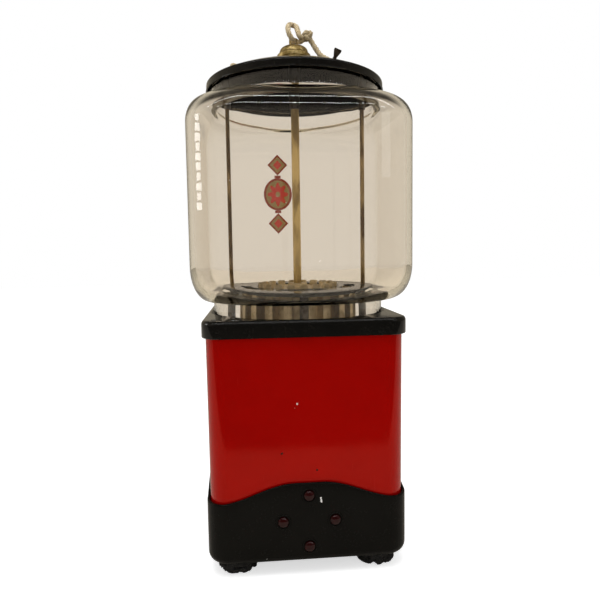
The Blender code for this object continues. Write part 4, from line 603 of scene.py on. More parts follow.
@dataclass
class Shape:
    """Points and faces of a form before it becomes a mesh; each face has the number of its finish."""

    points: list[Vector] = field(default_factory=list)
    faces: list[tuple[int, ...]] = field(default_factory=list)
    coats: list[int] = field(default_factory=list)

    @classmethod
    def lofted(cls, loops: Sequence[Loop], ring: bool = False, coat: int = 0) -> "Shape":
        """Skin a row of loops that have the same number of points.

        Args:
            loops: The loops, in order.
            ring: Whether the last loop joins the first; otherwise both ends are closed flat.
            coat: Number of the faces' finish.

        Returns:
            A closed form.
        """
        shape, count = cls([p.copy() for loop in loops for p in loop]), len(loops[0])
        last = len(loops) if ring else len(loops) - 1
        for row in range(last):
            low, high = row * count, (row + 1) % len(loops) * count
            for i in range(count):
                j = (i + 1) % count
                shape.faces.append((low + i, low + j, high + j, high + i))
        if not ring:
            shape.faces.append(tuple(reversed(range(count))))
            shape.faces.append(tuple(range((len(loops) - 1) * count, len(loops) * count)))
        shape.coats = [coat] * len(shape.faces)
        return shape

    @classmethod
    def turned(cls, profile: Outline, steps: int = 96, coat: int = 0) -> "Shape":
        """Spin a closed outline of (radius, height) about the upright axis.

        Args:
            profile: The outline. Neighbours on the axis close the form there.
            steps: Faces round the axis.
            coat: Number of the faces' finish.

        Returns:
            The turned form.
        """
        shape, rows = cls(), []
        for radius, height in profile:
            first = len(shape.points)
            if radius < 1e-7:
                shape.points.append(Vector((0, 0, height)))
                rows.append([first] * steps)
                continue
            shape.points += [Vector((*point, height)) for point in round_outline(radius, steps)]
            rows.append(list(range(first, first + steps)))
        for low, high in zip(rows, rows[1:] + rows[:1]):
            for i in range(steps):
                j = (i + 1) % steps
                corners = list(dict.fromkeys((low[i], low[j], high[j], high[i])))
                if len(corners) > 2:
                    shape.faces.append(tuple(corners))
        shape.coats = [coat] * len(shape.faces)
        return shape

    @classmethod
    def tube(cls, radii: Pair, heights: Pair, edges: Sequence[float], steps: int) -> "Shape":
        """A round tube, or a bar where the inner radius is 0.

        Args:
            radii: Inner and outer radius.
            heights: Lower and upper height.
            edges: Rounding of the inner lower, outer lower, outer upper and inner upper edge.
            steps: Faces round the axis.

        Returns:
            The tube.
        """
        (inner, outer), (low, high) = radii, heights
        corners = ((inner, low), (outer, low), (outer, high), (inner, high))
        return cls.turned(filleted([(*at, edge) for at, edge in zip(corners, edges)]), steps)

    @classmethod
    def ringed(cls, rows: Iterable[Triple], directions: Sequence[float]) -> "Shape":
        """Skin rounded squares: half width, corner radius and height. A circle's corner is its radius."""
        return cls.lofted([square_loop(*row, directions) for row in rows], ring=True)

    @classmethod
    def domed(cls, stem: Pair, head: Triple, rows: int, steps: int) -> "Shape":
        """A domed head on a stem, standing just clear of what carries it at height 0.

        Args:
            stem: Radius and depth of the stem.
            head: Radius and height of the head, and how far its foot draws in.
            rows: Faces up the dome.
            steps: Faces round the axis.

        Returns:
            The form.
        """
        (shank, depth), (radius, rise, chamfer), edge = stem, head, 0.35
        points = [(0.0, -depth), (shank, -depth), (shank, CLEAR), (radius - chamfer, CLEAR)]
        points += [(radius * cosine, CLEAR + edge + (rise - edge) * sine) for cosine, sine in quarter(rows)]
        return cls.turned(points, steps)

    @classmethod
    def extruded(cls, outline: Outline, low: float, high: float, coat: int = 0) -> "Shape":
        """Raise a flat outline of (x, y) between two heights."""
        return cls.lofted([[Vector((x, y, z)) for x, y in outline] for z in (low, high)], coat=coat)

    @classmethod
    def cushioned(cls, outline: Outline, low: float, high: float, edge: float, steps: int = 4) -> "Shape":
        """Raise an outline about its middle, with its upper edge rounded over.

        Args:
            outline: Flat points, about the origin.
            low: Lower height.
            high: Upper height.
            edge: Radius of the rounding.
            steps: Faces over it.

        Returns:
            The form.
        """
        reach = max(hypot(x, y) for x, y in outline)
        loops = [[Vector((x, y, low)) for x, y in outline]]
        for cosine, sine in quarter(steps):
            inset = edge * (1 - cosine)
            loop = []
            before, after = outline[-1:] + outline[:-1], outline[1:] + outline[:1]
            for (x0, y0), (x, y), (x1, y1) in zip(before, outline, after):
                along = Vector((y1 - y0, x0 - x1))
                side = along.normalized() if along.length else Vector((x, y)) / reach
                loop.append(Vector((x - side.x * inset, y - side.y * inset, high - edge * (1 - sine))))
            loops.append(loop)
        return cls.lofted(loops)

    @classmethod
    def joined(cls, shapes: Iterable["Shape"]) -> "Shape":
        """Several forms as one piece.

        Args:
            shapes: The forms.

        Returns:
            The piece.
        """
        whole = cls()
        for shape in shapes:
            first = len(whole.points)
            whole.points += shape.points
            whole.faces += [tuple(i + first for i in face) for face in shape.faces]
            whole.coats += shape.coats
        return whole

    def put(self, matrix: Matrix) -> "Shape":
        """The same form moved by a matrix."""
        return Shape([matrix @ p for p in self.points], list(self.faces), list(self.coats))

    def shifted(self, x: float = 0.0, y: float = 0.0, z: float = 0.0) -> "Shape":
        """The same form shifted."""
        return self.put(Matrix.Translation((x, y, z)))

    def recoated(self, coat: int, chosen: Callable[[Vector], bool]) -> "Shape":
        """Give another finish to the faces whose middle is chosen.

        Args:
            coat: Number of the finish.
            chosen: Says whether a point is on such a face.

        Returns:
            The same form.
        """
        for k, face in enumerate(self.faces):
            if chosen(sum((self.points[i] for i in face), Vector()) / len(face)):
                self.coats[k] = coat
        return self

    def facing_front(self) -> "Shape":
        """The same form with its axis along Y and its top to the front."""
        return self.put(Matrix.Rotation(pi / 2, 4, "X"))

    def across(self) -> "Shape":
        """The same form with its axis along X."""
        return self.put(Matrix.Rotation(pi / 2, 4, "Y"))


def polar(radius: float, angle: float) -> Pair:
    """A point on a circle round the origin."""
    return radius * cos(angle), radius * sin(angle)


def quarter(steps: int) -> Outline:
    """Cosine and sine at even steps over a quarter turn, both ends included."""
    return [polar(1.0, pi / 2 * i / steps) for i in range(steps + 1)]


def filleted(corners: Sequence[Triple], steps: int = 5) -> Outline:
    """Round the corners of a closed outline.

    Args:
        corners: (x, y, radius) of each corner; a radius of 0 leaves it sharp.
        steps: Faces over each rounding.

    Returns:
        The rounded outline.
    """
    outline: Outline = []
    for i, (x, y, radius) in enumerate(corners):
        here = Vector((x, y))
        before = Vector(corners[i - 1][:2]) - here
        after = Vector(corners[(i + 1) % len(corners)][:2]) - here
        if radius <= 0 or before.length < 1e-9 or after.length < 1e-9:
            outline.append((x, y))
            continue
        opening = before.angle(after)
        back = min(radius / max(tan(opening / 2), 1e-4), 0.49 * before.length, 0.49 * after.length)
        start, end = here + before.normalized() * back, here + after.normalized() * back
        for k in range(steps + 1):
            t = k / steps
            point = start * (1 - t) ** 2 + here * 2 * t * (1 - t) + end * t * t
            outline.append((point.x, point.y))
    return outline


def rounded_rectangle(half_x: float, half_y: float, corner: float, steps: int = 8) -> Outline:
    """Outline of a rectangle with round corners, about the origin.

    Args:
        half_x: Half its width.
        half_y: Half its height.
        corner: Radius of its corners.
        steps: Faces round a corner.

    Returns:
        The outline.
    """
    points: Outline = []
    for quarter, (sx, sy) in enumerate(((1, 1), (-1, 1), (-1, -1), (1, -1))):
        for i in range(steps + 1):
            a = quarter * pi / 2 + pi / 2 * i / steps
            x, y = polar(corner, a)
            points.append((sx * (half_x - corner) + x, sy * (half_y - corner) + y))
    return points


def round_outline(radius: float, steps: int = 48) -> Outline:
    """A circle as an outline."""
    return [polar(radius, FULL_TURN * i / steps) for i in range(steps)]


def square_directions(half: float, corner: float, corner_steps: int = 14, side_steps: int = 8) -> list[float]:
    """Directions from the axis round a rounded square, closest together in its corners.

    Args:
        half: Half the square's width.
        corner: Its corner radius.
        corner_steps: Faces round each corner.
        side_steps: Faces along each half side.

    Returns:
        The directions, in radians, once round.
    """
    first = []
    flat = half - corner
    for i in range(side_steps):
        first.append(atan2(flat * i / side_steps, half))
    for i in range(corner_steps + 1):
        a = pi / 2 * i / corner_steps
        first.append(atan2(flat + corner * sin(a), flat + corner * cos(a)))
    for i in range(1, side_steps):
        first.append(atan2(half, flat * (1 - i / side_steps)))
    return [a + quarter * pi / 2 for quarter in range(4) for a in first]


def square_reach(half: float, corner: float, direction: float) -> float:
    """Distance from the middle of a rounded square to its edge in one direction.

    Args:
        half: Half the square's width.
        corner: Its corner radius.
        direction: The direction, in radians.

    Returns:
        The distance.
    """
    long_way, short_way = abs(cos(direction)), abs(sin(direction))
    if long_way < short_way:
        long_way, short_way = short_way, long_way
    reach, centre = half / long_way, half - corner
    if reach * short_way <= centre:
        return reach
    both = centre * (long_way + short_way)
    return both + sqrt(max(both * both - (2 * centre * centre - corner * corner), 0.0))


def square_loop(half: float, corner: float, z: float, directions: Sequence[float]) -> Loop:
    """A rounded square at one height."""
    return [Vector((*polar(square_reach(half, corner, a), a), z)) for a in directions]


def round_loop(radius: float, z: float, directions: Sequence[float]) -> Loop:
    """A circle at one height, with its points in the same directions as a square's."""
    return [Vector((*polar(radius, a), z)) for a in directions]


def smooth_route(points: Sequence[Vector], step: float) -> list[Vector]:
    """Even points along a smooth curve through a route's own points.

    Args:
        points: The route.
        step: Wanted distance between the points.

    Returns:
        The even points, both ends included.
    """
    ends = [2 * points[0] - points[1], *points, 2 * points[-1] - points[-2]]
    fine: list[Vector] = []
    for p0, p1, p2, p3 in zip(ends, ends[1:], ends[2:], ends[3:]):
        for i in range(16):
            t = i / 16
            fine.append(0.5 * (
                2 * p1 + (p2 - p0) * t + (2 * p0 - 5 * p1 + 4 * p2 - p3) * t * t
                + (3 * p1 - p0 - 3 * p2 + p3) * t ** 3
            ))
    fine.append(points[-1])
    run = [0.0]
    for a, b in zip(fine, fine[1:]):
        run.append(run[-1] + (b - a).length)
    count = max(2, round(run[-1] / step))
    even, k = [], 0
    for i in range(count + 1):
        want = run[-1] * i / count
        while k < len(fine) - 2 and run[k + 1] < want:
            k += 1
        span = max(run[k + 1] - run[k], 1e-9)
        even.append(fine[k].lerp(fine[k + 1], min((want - run[k]) / span, 1.0)))
    return even


# Workshop


class Workshop:
    """Turns shapes into dressed pieces that ride on the part's bodies."""

    def __init__(self) -> None:
        """Start with no pieces made."""
        self.made: list[str] = []

    def mesh(self, name: str, shape: Shape, smooth: float = 38.0) -> bpy.types.Object:
        """Make a shape an object in the row frame, with its faces outward.

        Args:
            name: The object's name.
            shape: Its form, about the machine's axis.
            smooth: Edges sharper than this many degrees stay sharp.

        Returns:
            The object.
        """
        mesh = bpy.data.meshes.new(name)
        mesh.from_pydata([(p + AXIS) * MM for p in shape.points], [], shape.faces)
        mesh.polygons.foreach_set("material_index", shape.coats)
        bm = bmesh.new()
        bm.from_mesh(mesh)
        bmesh.ops.recalc_face_normals(bm, faces=bm.faces)
        bm.to_mesh(mesh)
        bm.free()
        obj = bpy.data.objects.new(name, mesh)
        bpy.context.scene.collection.objects.link(obj)
        self.shade(obj, smooth)
        return obj

    def shade(self, obj: bpy.types.Object, smooth: float) -> None:
        """Shade an object smooth up to an angle in degrees."""
        obj.data.shade_smooth()
        obj.data.set_sharp_from_angle(angle=radians(smooth))

    def settle(self, obj: bpy.types.Object) -> None:
        """Turn an object's modifiers into its mesh.

        Args:
            obj: The object.
        """
        graph = bpy.context.evaluated_depsgraph_get()
        mesh = bpy.data.meshes.new_from_object(obj.evaluated_get(graph))
        old, obj.data = obj.data, mesh
        obj.modifiers.clear()
        bpy.data.meshes.remove(old)
        mesh.name = obj.name

    def cut(
        self, obj: bpy.types.Object, tools: Sequence[Shape], smooth: float = 38.0, kind: str = "DIFFERENCE"
    ) -> None:
        """Cut shapes out of an object, or join them to it, one after another.

        Args:
            obj: The object that changes.
            tools: The shapes.
            smooth: Edges sharper than this many degrees stay sharp.
            kind: DIFFERENCE to cut, UNION to join.
        """
        for tool in tools:
            other = self.mesh(f"{obj.name}_tool", tool)
            step = obj.modifiers.new("tool", "BOOLEAN")
            step.operation, step.object, step.solver = kind, other, "EXACT"
            self.settle(obj)
            bpy.data.objects.remove(other)
        self.shade(obj, smooth)

    def bevel(self, obj: bpy.types.Object, width: float, segments: int = 3, angle: float = 35.0) -> None:
        """Round an object's sharp edges by a width.

        Args:
            obj: The object.
            width: The width.
            segments: Faces over an edge.
            angle: Edges flatter than this many degrees stay as they are.
        """
        step = obj.modifiers.new("rounding", "BEVEL")
        step.width, step.segments, step.limit_method = width * MM, segments, "ANGLE"
        step.angle_limit, step.harden_normals = radians(angle), True

    def dress(
        self, obj: bpy.types.Object, finishes: Finish | Sequence[Finish], node: str = "",
        body: Body = Body.MACHINE,
    ) -> bpy.types.Object:
        """Give a piece its finish, seat it on its body and report it.

        Args:
            obj: The piece.
            finishes: Its finish, or several in the order of its faces' numbers.
            node: The CAD node that it stands for, if any.
            body: The body that it rides on.

        Returns:
            The same piece.
        """
        coats = [finishes] if isinstance(finishes, Finish) else list(finishes)
        numbers = [face.material_index for face in obj.data.polygons]
        obj.data.materials.clear()
        for coat in coats:
            obj.data.materials.append(coat.material())
        obj.data.polygons.foreach_set("material_index", numbers)
        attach(obj, body.value)
        if node:
            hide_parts(node)
        self.made.append(obj.name)
        log.info("%s: %d faces, on %s", obj.name, len(obj.data.polygons), body.value)
        return obj

    def piece(
        self, name: str, shape: Shape, finishes: Finish | Sequence[Finish], node: str = "",
        body: Body = Body.MACHINE, smooth: float = 38.0, bevel: float = 0.0,
    ) -> bpy.types.Object:
        """Make a shape a dressed piece in one go.

        Args:
            name: The piece's name.
            shape: Its form, about the machine's axis.
            finishes: Its finish, or several in the order of its faces' numbers.
            node: The CAD node that it stands for, if any.
            body: The body that it rides on.
            smooth: Edges sharper than this many degrees stay sharp.
            bevel: How far its sharp edges are rounded.

        Returns:
            The piece.
        """
        obj = self.mesh(name, shape, smooth)
        if bevel:
            self.bevel(obj, bevel)
        return self.dress(obj, finishes, node, body)

    def carry_over(self, finish: Finish, *nodes: str) -> None:
        """Give CAD nodes that stay in the model a finish of their own.

        Args:
            finish: The finish.
            *nodes: The nodes' names.
        """
        for name in nodes:
            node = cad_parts[name]
            node.data.materials.clear()
            node.data.materials.append(finish.material())
            log.info("%s: kept from the part, in %s", name, finish.name)


@dataclass
class SubAssembly:
    """Pieces that belong together, made in one workshop."""

    shop: Workshop

    def build(self) -> None:
        """Build and dress the pieces."""
        raise NotImplementedError


# Studio


@dataclass
class Studio:
    """Camera, lamps, surroundings and floor."""

    camera_at: Triple = (37.0, 449.5, 233.3)
    heading: Pair = (-0.0863, -0.9963)
    pitch: float = radians(4.73)
    roll: float = radians(-0.89)
    lens: float = 32.4
    floor_half: float = 4000.0
    bright_front: float = 315.0
    fade: float = 30.0
    ambient: float = 0.62
    room: Colour = (0.42, 0.37, 0.28)
    room_shade: Colour = (0.11, 0.1, 0.085)
    room_in_glass: Colour = (0.82, 0.78, 0.74)

    def place_camera(self) -> None:
        """Set the camera up where the photograph's stood."""
        data = bpy.data.cameras.new("camera")
        data.lens, data.sensor_width = self.lens, 36.0
        data.clip_start, data.clip_end = 0.01, 50.0
        camera = bpy.data.objects.new("camera", data)
        flat = Vector((*self.heading, 0.0)).normalized()
        look = flat * cos(self.pitch) - UP * sin(self.pitch)
        turned = look.to_track_quat("-Z", "Y").to_matrix().to_4x4() @ Matrix.Rotation(self.roll, 4, "Z")
        camera.matrix_world = Matrix.Translation((Vector(self.camera_at) + AXIS) * MM) @ turned
        bpy.context.scene.collection.objects.link(camera)
        bpy.context.scene.camera = camera
        log.info("camera at %s", tuple(round(c, 4) for c in camera.matrix_world.translation))

    def lamp(
        self, name: str, at: Triple, towards: Triple, size: Pair, power: float, soft: bool = False
    ) -> None:
        """Hang a soft rectangular lamp.

        Args:
            name: Its name.
            at: Its place.
            towards: The point that it faces.
            size: Its width and height.
            power: Its power in watts.
            soft: Whether it lights matt surfaces only; otherwise it only shows in gloss.
        """
        data = bpy.data.lights.new(name, "AREA")
        data.shape, data.size, data.size_y, data.energy = "RECTANGLE", size[0], size[1], power
        lamp = bpy.data.objects.new(name, data)
        look = Vector(towards) - Vector(at)
        turned = look.to_track_quat("-Z", "Y").to_matrix().to_4x4()
        lamp.matrix_world = Matrix.Translation(Vector(at)) @ turned
        lamp.visible_diffuse, lamp.visible_glossy, lamp.visible_transmission = soft, not soft, False
        bpy.context.scene.collection.objects.link(lamp)

    def hang_lamps(self) -> None:
        """Hang the soft lamp overhead, two long tubes, a slatted blind and a small window opposite it."""
        middle = (0.0, 0.0, 0.25)
        self.lamp("overhead_lamp", (0.1, 0.25, 1.5), middle, (0.9, 0.9), 11.0, soft=True)
        for name, y, long in (("far_tube", 0.8, 4.6), ("near_tube", 1.7, 3.4)):
            self.lamp(name, (0.0, y, 1.6), middle, (long, 0.05), 2.6 * long)
        for k, wide in enumerate((0.3, 0.22, 0.28, 0.2, 0.26, 0.3, 0.22, 0.3, 0.26, 0.2, 0.28)):
            at = (1.4, -0.1, 0.39 + 0.034 * k)
            self.lamp(f"blind_slat_{k}", at, middle, (1.4 * wide, 0.026), 0.8 * wide)
        self.lamp("small_window", (-1.0, 1.0, 0.6), middle, (0.5, 0.24), 0.45)

    def surround(self) -> None:
        """Even light for matt surfaces; gloss sees a pale room with a dark camera side and ceiling."""
        world = bpy.data.worlds.new("studio_room")
        bench = Bench(world)
        parts = bench.add("SeparateXYZ", {0: bench.place})
        behind = bench.rise(parts.outputs["Y"], 0.93, 0.15)
        beside = bench.rise(parts.outputs["X"], -0.7, 0.5, (0.5, 1.0))
        above = bench.rise(parts.outputs["Z"], 0.78, 0.42, (0.05, 1.0))
        around = bench.times(bench.times(behind, beside), above)
        mirrored = bench.blend(around, self.room_shade, self.room)
        seen, reflected, leaving = bench.ray_kinds()
        tone = bench.blend(reflected, (self.ambient,) * 3, mirrored)
        tone = bench.blend(leaving, tone, bench.blend(above, (0.0,) * 3, self.room_in_glass))
        plain = bench.blend(above, (0.0,) * 3, (1.0,) * 3)
        sky = bench.add("Background", {"Color": bench.blend(seen, tone, plain)})
        bench.tree.links.new(sky.outputs[0], bench.output.inputs["Surface"])
        bpy.context.scene.world = world

    def lay_floor(self) -> None:
        """Lay the pale floor: white to the eye, with the shadow, and dark in gloss past its front edge."""
        half = self.floor_half
        shape = Shape.extruded([(-half, -half), (half, -half), (half, half), (-half, half)], -10, 0.0)
        floor = Workshop().mesh("studio_floor", shape)
        material = bpy.data.materials.new("pale_floor")
        bench = Bench(material)
        parts = bench.add("SeparateXYZ", {0: bench.place})
        front = bench.rise(parts.outputs["Y"], self.bright_front * MM, (self.bright_front + self.fade) * MM)
        seen, reflected, _ = bench.ray_kinds()
        mottled = bench.rise(bench.grain(60, 2), 0.3, 0.7, (0.8, 0.82))
        tone = bench.blend(mottled, (0.0,) * 3, (1.0,) * 3)
        mirrored = bench.blend(front, (0.66, 0.61, 0.52), self.room_shade)
        tone = bench.blend(reflected, tone, mirrored)
        matt = {"Base Color": tone, "Roughness": 0.9, "Specular IOR Level": 0.1}
        shader = bench.add("BsdfPrincipled", matt)
        glow = bench.add("Emission", {"Color": (1.0,) * 4, "Strength": bench.times(seen, 0.62)})
        both = bench.add("AddShader", {0: shader.outputs[0], 1: glow.outputs[0]})
        bench.tree.links.new(both.outputs[0], bench.output.inputs["Surface"])
        floor.data.materials.append(material)

    def light(self) -> None:
        """Set up everything but the camera, with colours shown as they are written."""
        bpy.context.scene.view_settings.view_transform = "Standard"
        self.hang_lamps()
        self.surround()
        self.lay_floor()


# Lid, its nut and the string


@dataclass
class LidTop(SubAssembly):
    """The domed lid, its gasket and sleeves, and the brass lock nut on it."""

    radius: float = 70.6
    rim_z: float = 362.5
    band: float = 5.8
    apex: float = 384.4
    ball: float = 162.84
    sheet: float = 1.0
    edge: float = 2.0
    bead: float = 0.9
    hole: float = 3.6
    steps: int = 160
    gasket_inner: float = 63.5
    gasket_outer: float = 67.5
    gasket_z: Pair = (365.3, 367.9)
    boss: Pair = (3.55, 4.35)
    sleeve: Pair = (1.95, 2.6)
    sleeve_bottom: float = 353.0
    sleeve_offset: float = 55.0
    nut_bottom: float = 384.7
    nut_height: float = 15.5
    flange: Pair = (13.6, 9.2)
    neck_radius: float = 12.4
    crown_radius: float = 11.6
    crown_round: float = 4.6
    bore: Pair = (3.55, 9.0)
    stud: Pair = (3.7, 6.6)
    stud_hole: Pair = (2.45, 3.3)

    @property
    def nut_top(self) -> float:
        """Height of the nut's round crown."""
        return self.nut_bottom + self.nut_height

    def dome(self, radius: float, drop: float = 0.0) -> float:
        """Height of the lid's upper skin at a radius, or of a skin that far below it."""
        return self.apex - self.ball + sqrt((self.ball - drop) ** 2 - radius ** 2)

    def is_inside(self, point: Vector) -> bool:
        """Whether a point is on the lid's inner skin."""
        reach = hypot(point.x, point.y)
        return reach < self.radius - self.sheet / 2 and point.z < self.dome(reach, self.sheet / 2)

    def lid_outline(self) -> Outline:
        """The lid's section: dome, rounded edge, band, rolled bead and the skin inside.

        Returns:
            (radius, height) of its points.
        """
        shoulder = self.radius - self.edge
        inner, inner_shoulder = self.radius - self.sheet, self.radius - self.edge - self.sheet
        radii = [self.hole + (shoulder - self.hole) * i / 22 for i in range(23)]
        points = [(r, self.dome(r), 0.0) for r in radii]
        points += [
            (self.radius, self.rim_z + self.band + 0.1, self.edge),
            (self.radius, self.rim_z + self.bead * 1.05, 0.15),
            (self.radius + self.bead / 2, self.rim_z + self.bead * 0.8, 0.25),
            (self.radius + self.bead / 2, self.rim_z + self.bead * 0.15, 0.25),
            (self.radius - self.sheet / 2, self.rim_z - 0.0, 0.3),
            (inner - self.bead / 2, self.rim_z + self.bead * 0.2, 0.25),
            (inner - self.bead / 2, self.rim_z + self.bead * 0.8, 0.25),
            (inner, self.rim_z + self.bead * 1.05, 0.1),
            (inner, self.rim_z + self.band - self.sheet, self.edge / 2),
        ]
        points += [(r, self.dome(r, self.sheet), 0.0) for r in reversed(radii) if r < inner_shoulder]
        return filleted(points, 5)

    def nut_outline(self) -> Outline:
        """The lock nut's section, from its bore out over the flange and crown to the stud.

        Returns:
            (radius, height) of its points.
        """
        low, top = self.nut_bottom, self.nut_top
        flange, thick = self.flange
        stud, tall = self.stud
        bore, depth = self.bore
        groove = low + thick * 0.62
        points = [
            (bore, low, 0.0), (flange, low, 0.6), (flange, groove - 0.5, 0.3),
            (flange - 0.7, groove, 0.25), (flange, groove + 0.5, 0.3),
            (flange, low + thick, 0.7), (self.neck_radius, low + thick + 0.2, 0.4),
            (self.crown_radius + 0.1, low + thick + 1.4, 0.4),
        ]
        for cosine, sine in quarter(8):
            drop = self.crown_round * (1 - sine)
            points.append((self.crown_radius - self.crown_round * (1 - cosine), top - drop, 0.0))
        return filleted(points + [
            (stud + 0.5, top, 0.4), (stud, top + 0.7, 0.3), (stud, top + tall, 1.1),
            (0.0, top + tall, 0.0), (0.0, low + depth, 0.0), (bore, low + depth, 0.0),
        ], 6)

    def build(self) -> None:
        """Build and dress the lid, what is in it and the nut."""
        dome = Shape.turned(self.lid_outline(), self.steps).recoated(1, self.is_inside)
        self.shop.piece("lid_dome", dome, [BLACK_ENAMEL, LID_INSIDE], "lid", Body.LID)
        low, high = self.gasket_z
        top_out = self.dome(self.gasket_outer, self.sheet) - CLEAR
        ring = filleted([
            (self.gasket_inner, low, 0.6), (self.gasket_outer, low, 0.5),
            (self.gasket_outer, min(high, top_out), 0.4), (self.gasket_inner, high, 0.8),
        ])
        ring = Shape.turned(ring, self.steps)
        self.shop.piece("mouth_gasket_ring", ring, GASKET_RUBBER, "mouth_gasket", Body.LID)
        top = self.dome(self.boss[1], self.sheet) - CLEAR
        tube = Shape.tube(self.boss, (self.sleeve_bottom, top), (0.2, 0.3, 0.1, 0.1), 48)
        self.shop.piece("lid_centre_tube", tube, STEEL, "lid_boss", Body.LID)
        top = self.dome(self.sleeve_offset + self.sleeve[1], self.sheet) - CLEAR
        tube = Shape.tube(self.sleeve, (self.sleeve_bottom, top), (0.15, 0.25, 0.1, 0.1), 32)
        for side, where in SIDES:
            sleeve = tube.shifted(x=side * self.sleeve_offset)
            self.shop.piece(f"lid_tube_{where}", sleeve, STEEL, f"lid_sleeve_{where}", Body.LID)
        nut = self.shop.mesh("brass_lock_nut", Shape.turned(self.nut_outline(), 72))
        hole, up = self.stud_hole
        reach = self.stud[0] + 1
        bar = Shape.extruded(round_outline(hole, 24), -reach, reach).facing_front()
        self.shop.cut(nut, [bar.shifted(z=self.nut_top + up)])
        self.shop.dress(nut, SPUN_BRASS, "lock_nut", Body.NUT)


@dataclass
class StringTie(SubAssembly):
    """The cotton string through the nut's stud: loop, knot, tail with its clip, and short end."""

    lid: LidTop
    radius: float = 2.1
    lift: float = 2.7
    lobes: int = 3
    lay_length: float = 9.0
    groove: float = 0.26
    sides: int = 36
    step: float = 0.45
    knot_at: Triple = (-10.6, 7.6, 6.4)
    knot_radii: Triple = (4.8, 4.2, 4.9)
    lead_route: Route = ((-3.2, 4.2, 3.0), (-4.6, 5.4, 2.7), (-6.6, 6.6, 3.2), (-8.4, 7.4, 4.6))
    joining_route: Route = ((-3.42, 7.42, 8.15), (-3.8, 8.0, 6.6), (-5.2, 8.1, 5.0), (-7.6, 7.8, 4.8))
    leaving_route: Route = ((-9.0, 7.7, 5.0), (-11.4, 7.8, 4.4), (-13.5, 7.75, 2.2), (-14.85, 7.85, -0.1))
    clip_share: float = 0.62
    collar: Pair = (3.3, 3.2)
    blade: Four = (1.4, 3.0, 7.4, 1.6)
    fibres: int = 90
    loop_route: Route = (
        (0.3, 0.6, 3.3), (0.5, 5.0, 3.4), (2.8, 7.9, 5.2), (4.6, 8.0, 9.2), (4.6, 4.4, 14.4),
        (2.8, -1.2, 18.2), (0.0, -3.4, 18.9), (-2.4, -1.4, 17.0), (-2.8, 2.8, 13.2),
        (-3.3, 5.6, 10.2), (-3.4, 7.2, 8.4),
    )
    tail_fall: Route = (
        (-15.0, 7.9, -0.4), (-16.8, 8.5, -3.4), (-18.8, 9.4, -6.8), (-21.2, 10.4, -9.8),
    )
    tail_lid: Route = ((-26.2, 11.8, 2.6), (-30.6, 12.2, 1.5), (-36.5, 11.2, 0.2), (-42.5, 9.0, 0))
    end_fall: Route = (
        (-0.3, -0.6, 3.3), (0.6, -5.6, 3.2), (2.6, -10.6, 1.0), (5.0, -14.6, -4.0), (8.0, -18.0, -9.6),
    )
    end_lid: Route = (
        (12.4, -20.6, 0), (19.0, -20.4, 0), (26.4, -16.6, 0), (33.2, -9.4, 0), (39.4, 1.0, 0),
        (44.6, 12.0, 0), (49.2, 23.0, 0),
    )

    def route(self, in_air: Sequence[Triple], on_lid: Sequence[Triple] = ()) -> list[Vector]:
        """A stretch's points: in the air from the nut's top, on the lid from its dome.

        Args:
            in_air: Millimetres across, back and up from the nut's top.
            on_lid: Millimetres across and back, and how far raised over the dome.

        Returns:
            Close, even points along the stretch.
        """
        points = [Vector((x, y, self.lid.nut_top + z)) for x, y, z in in_air]
        for x, y, raised in on_lid:
            height = self.lid.dome(hypot(x, y)) + self.lift + raised
            points.append(Vector((x, y, height)))
        return smooth_route(points, self.step)

    def twisted(
        self, path: Sequence[Vector], radius: float, pinched: tuple[bool, bool] = (True, True)
    ) -> Shape:
        """A cord of twisted strands along a path.

        Args:
            path: Its centreline.
            radius: Its outer radius.
            pinched: Whether its first and its last end narrow to a close.

        Returns:
            One closed form with a helical groove between every two strands.
        """
        across = (path[1] - path[0]).orthogonal().normalized()
        loops, run = [], 0.0
        for i, at in enumerate(path):
            run += (at - path[i - 1]).length if i else 0.0
            along = (path[min(i + 1, len(path) - 1)] - path[max(i - 1, 0)]).normalized()
            across = (across - along * across.dot(along)).normalized()
            up = along.cross(across)
            twist = FULL_TURN * run / self.lay_length
            ends = min(k for k, closes in zip((i, len(path) - 1 - i, 3), (*pinched, True)) if closes)
            swell = (0.55, 0.82, 0.95, 1.0)[min(ends, 3)]
            swell *= 1.0 + 0.045 * noise.noise(at * 0.42)
            loop = []
            for k in range(self.sides):
                a = FULL_TURN * k / self.sides
                ridge = abs(cos(self.lobes * (a - twist) / 2)) ** 0.8
                reach = radius * swell * (1 - self.groove * (1 - ridge))
                loop.append(at + (across * cos(a) + up * sin(a)) * reach)
            loops.append(loop)
        return Shape.lofted(loops)

    def knot(self) -> Shape:
        """The overhand knot, drawn tight and egg-shaped.

        Returns:
            The knot with the strands that lead to it.
        """
        centre = Vector(self.knot_at) + UP * self.lid.nut_top
        path, thick = [], 1.75
        for i in range(121):
            t = FULL_TURN * i / 120
            ring = 1.0 + 0.48 * cos(3 * t)
            raw = Vector((ring * cos(2 * t), sin(3 * t) * 0.95, ring * sin(2 * t)))
            scale = [(r - thick) / most for r, most in zip(self.knot_radii, (1.48, 0.95, 1.48))]
            path.append(centre + Vector(raw[k] * scale[k] for k in range(3)))
        return Shape.joined([
            self.twisted(path, thick, (False, False)),
            self.twisted(self.route(self.lead_route), self.radius * 0.9),
            self.twisted(self.route(self.joining_route), self.radius, (False, True)),
            self.twisted(self.route(self.leaving_route), self.radius, (True, False)),
        ])

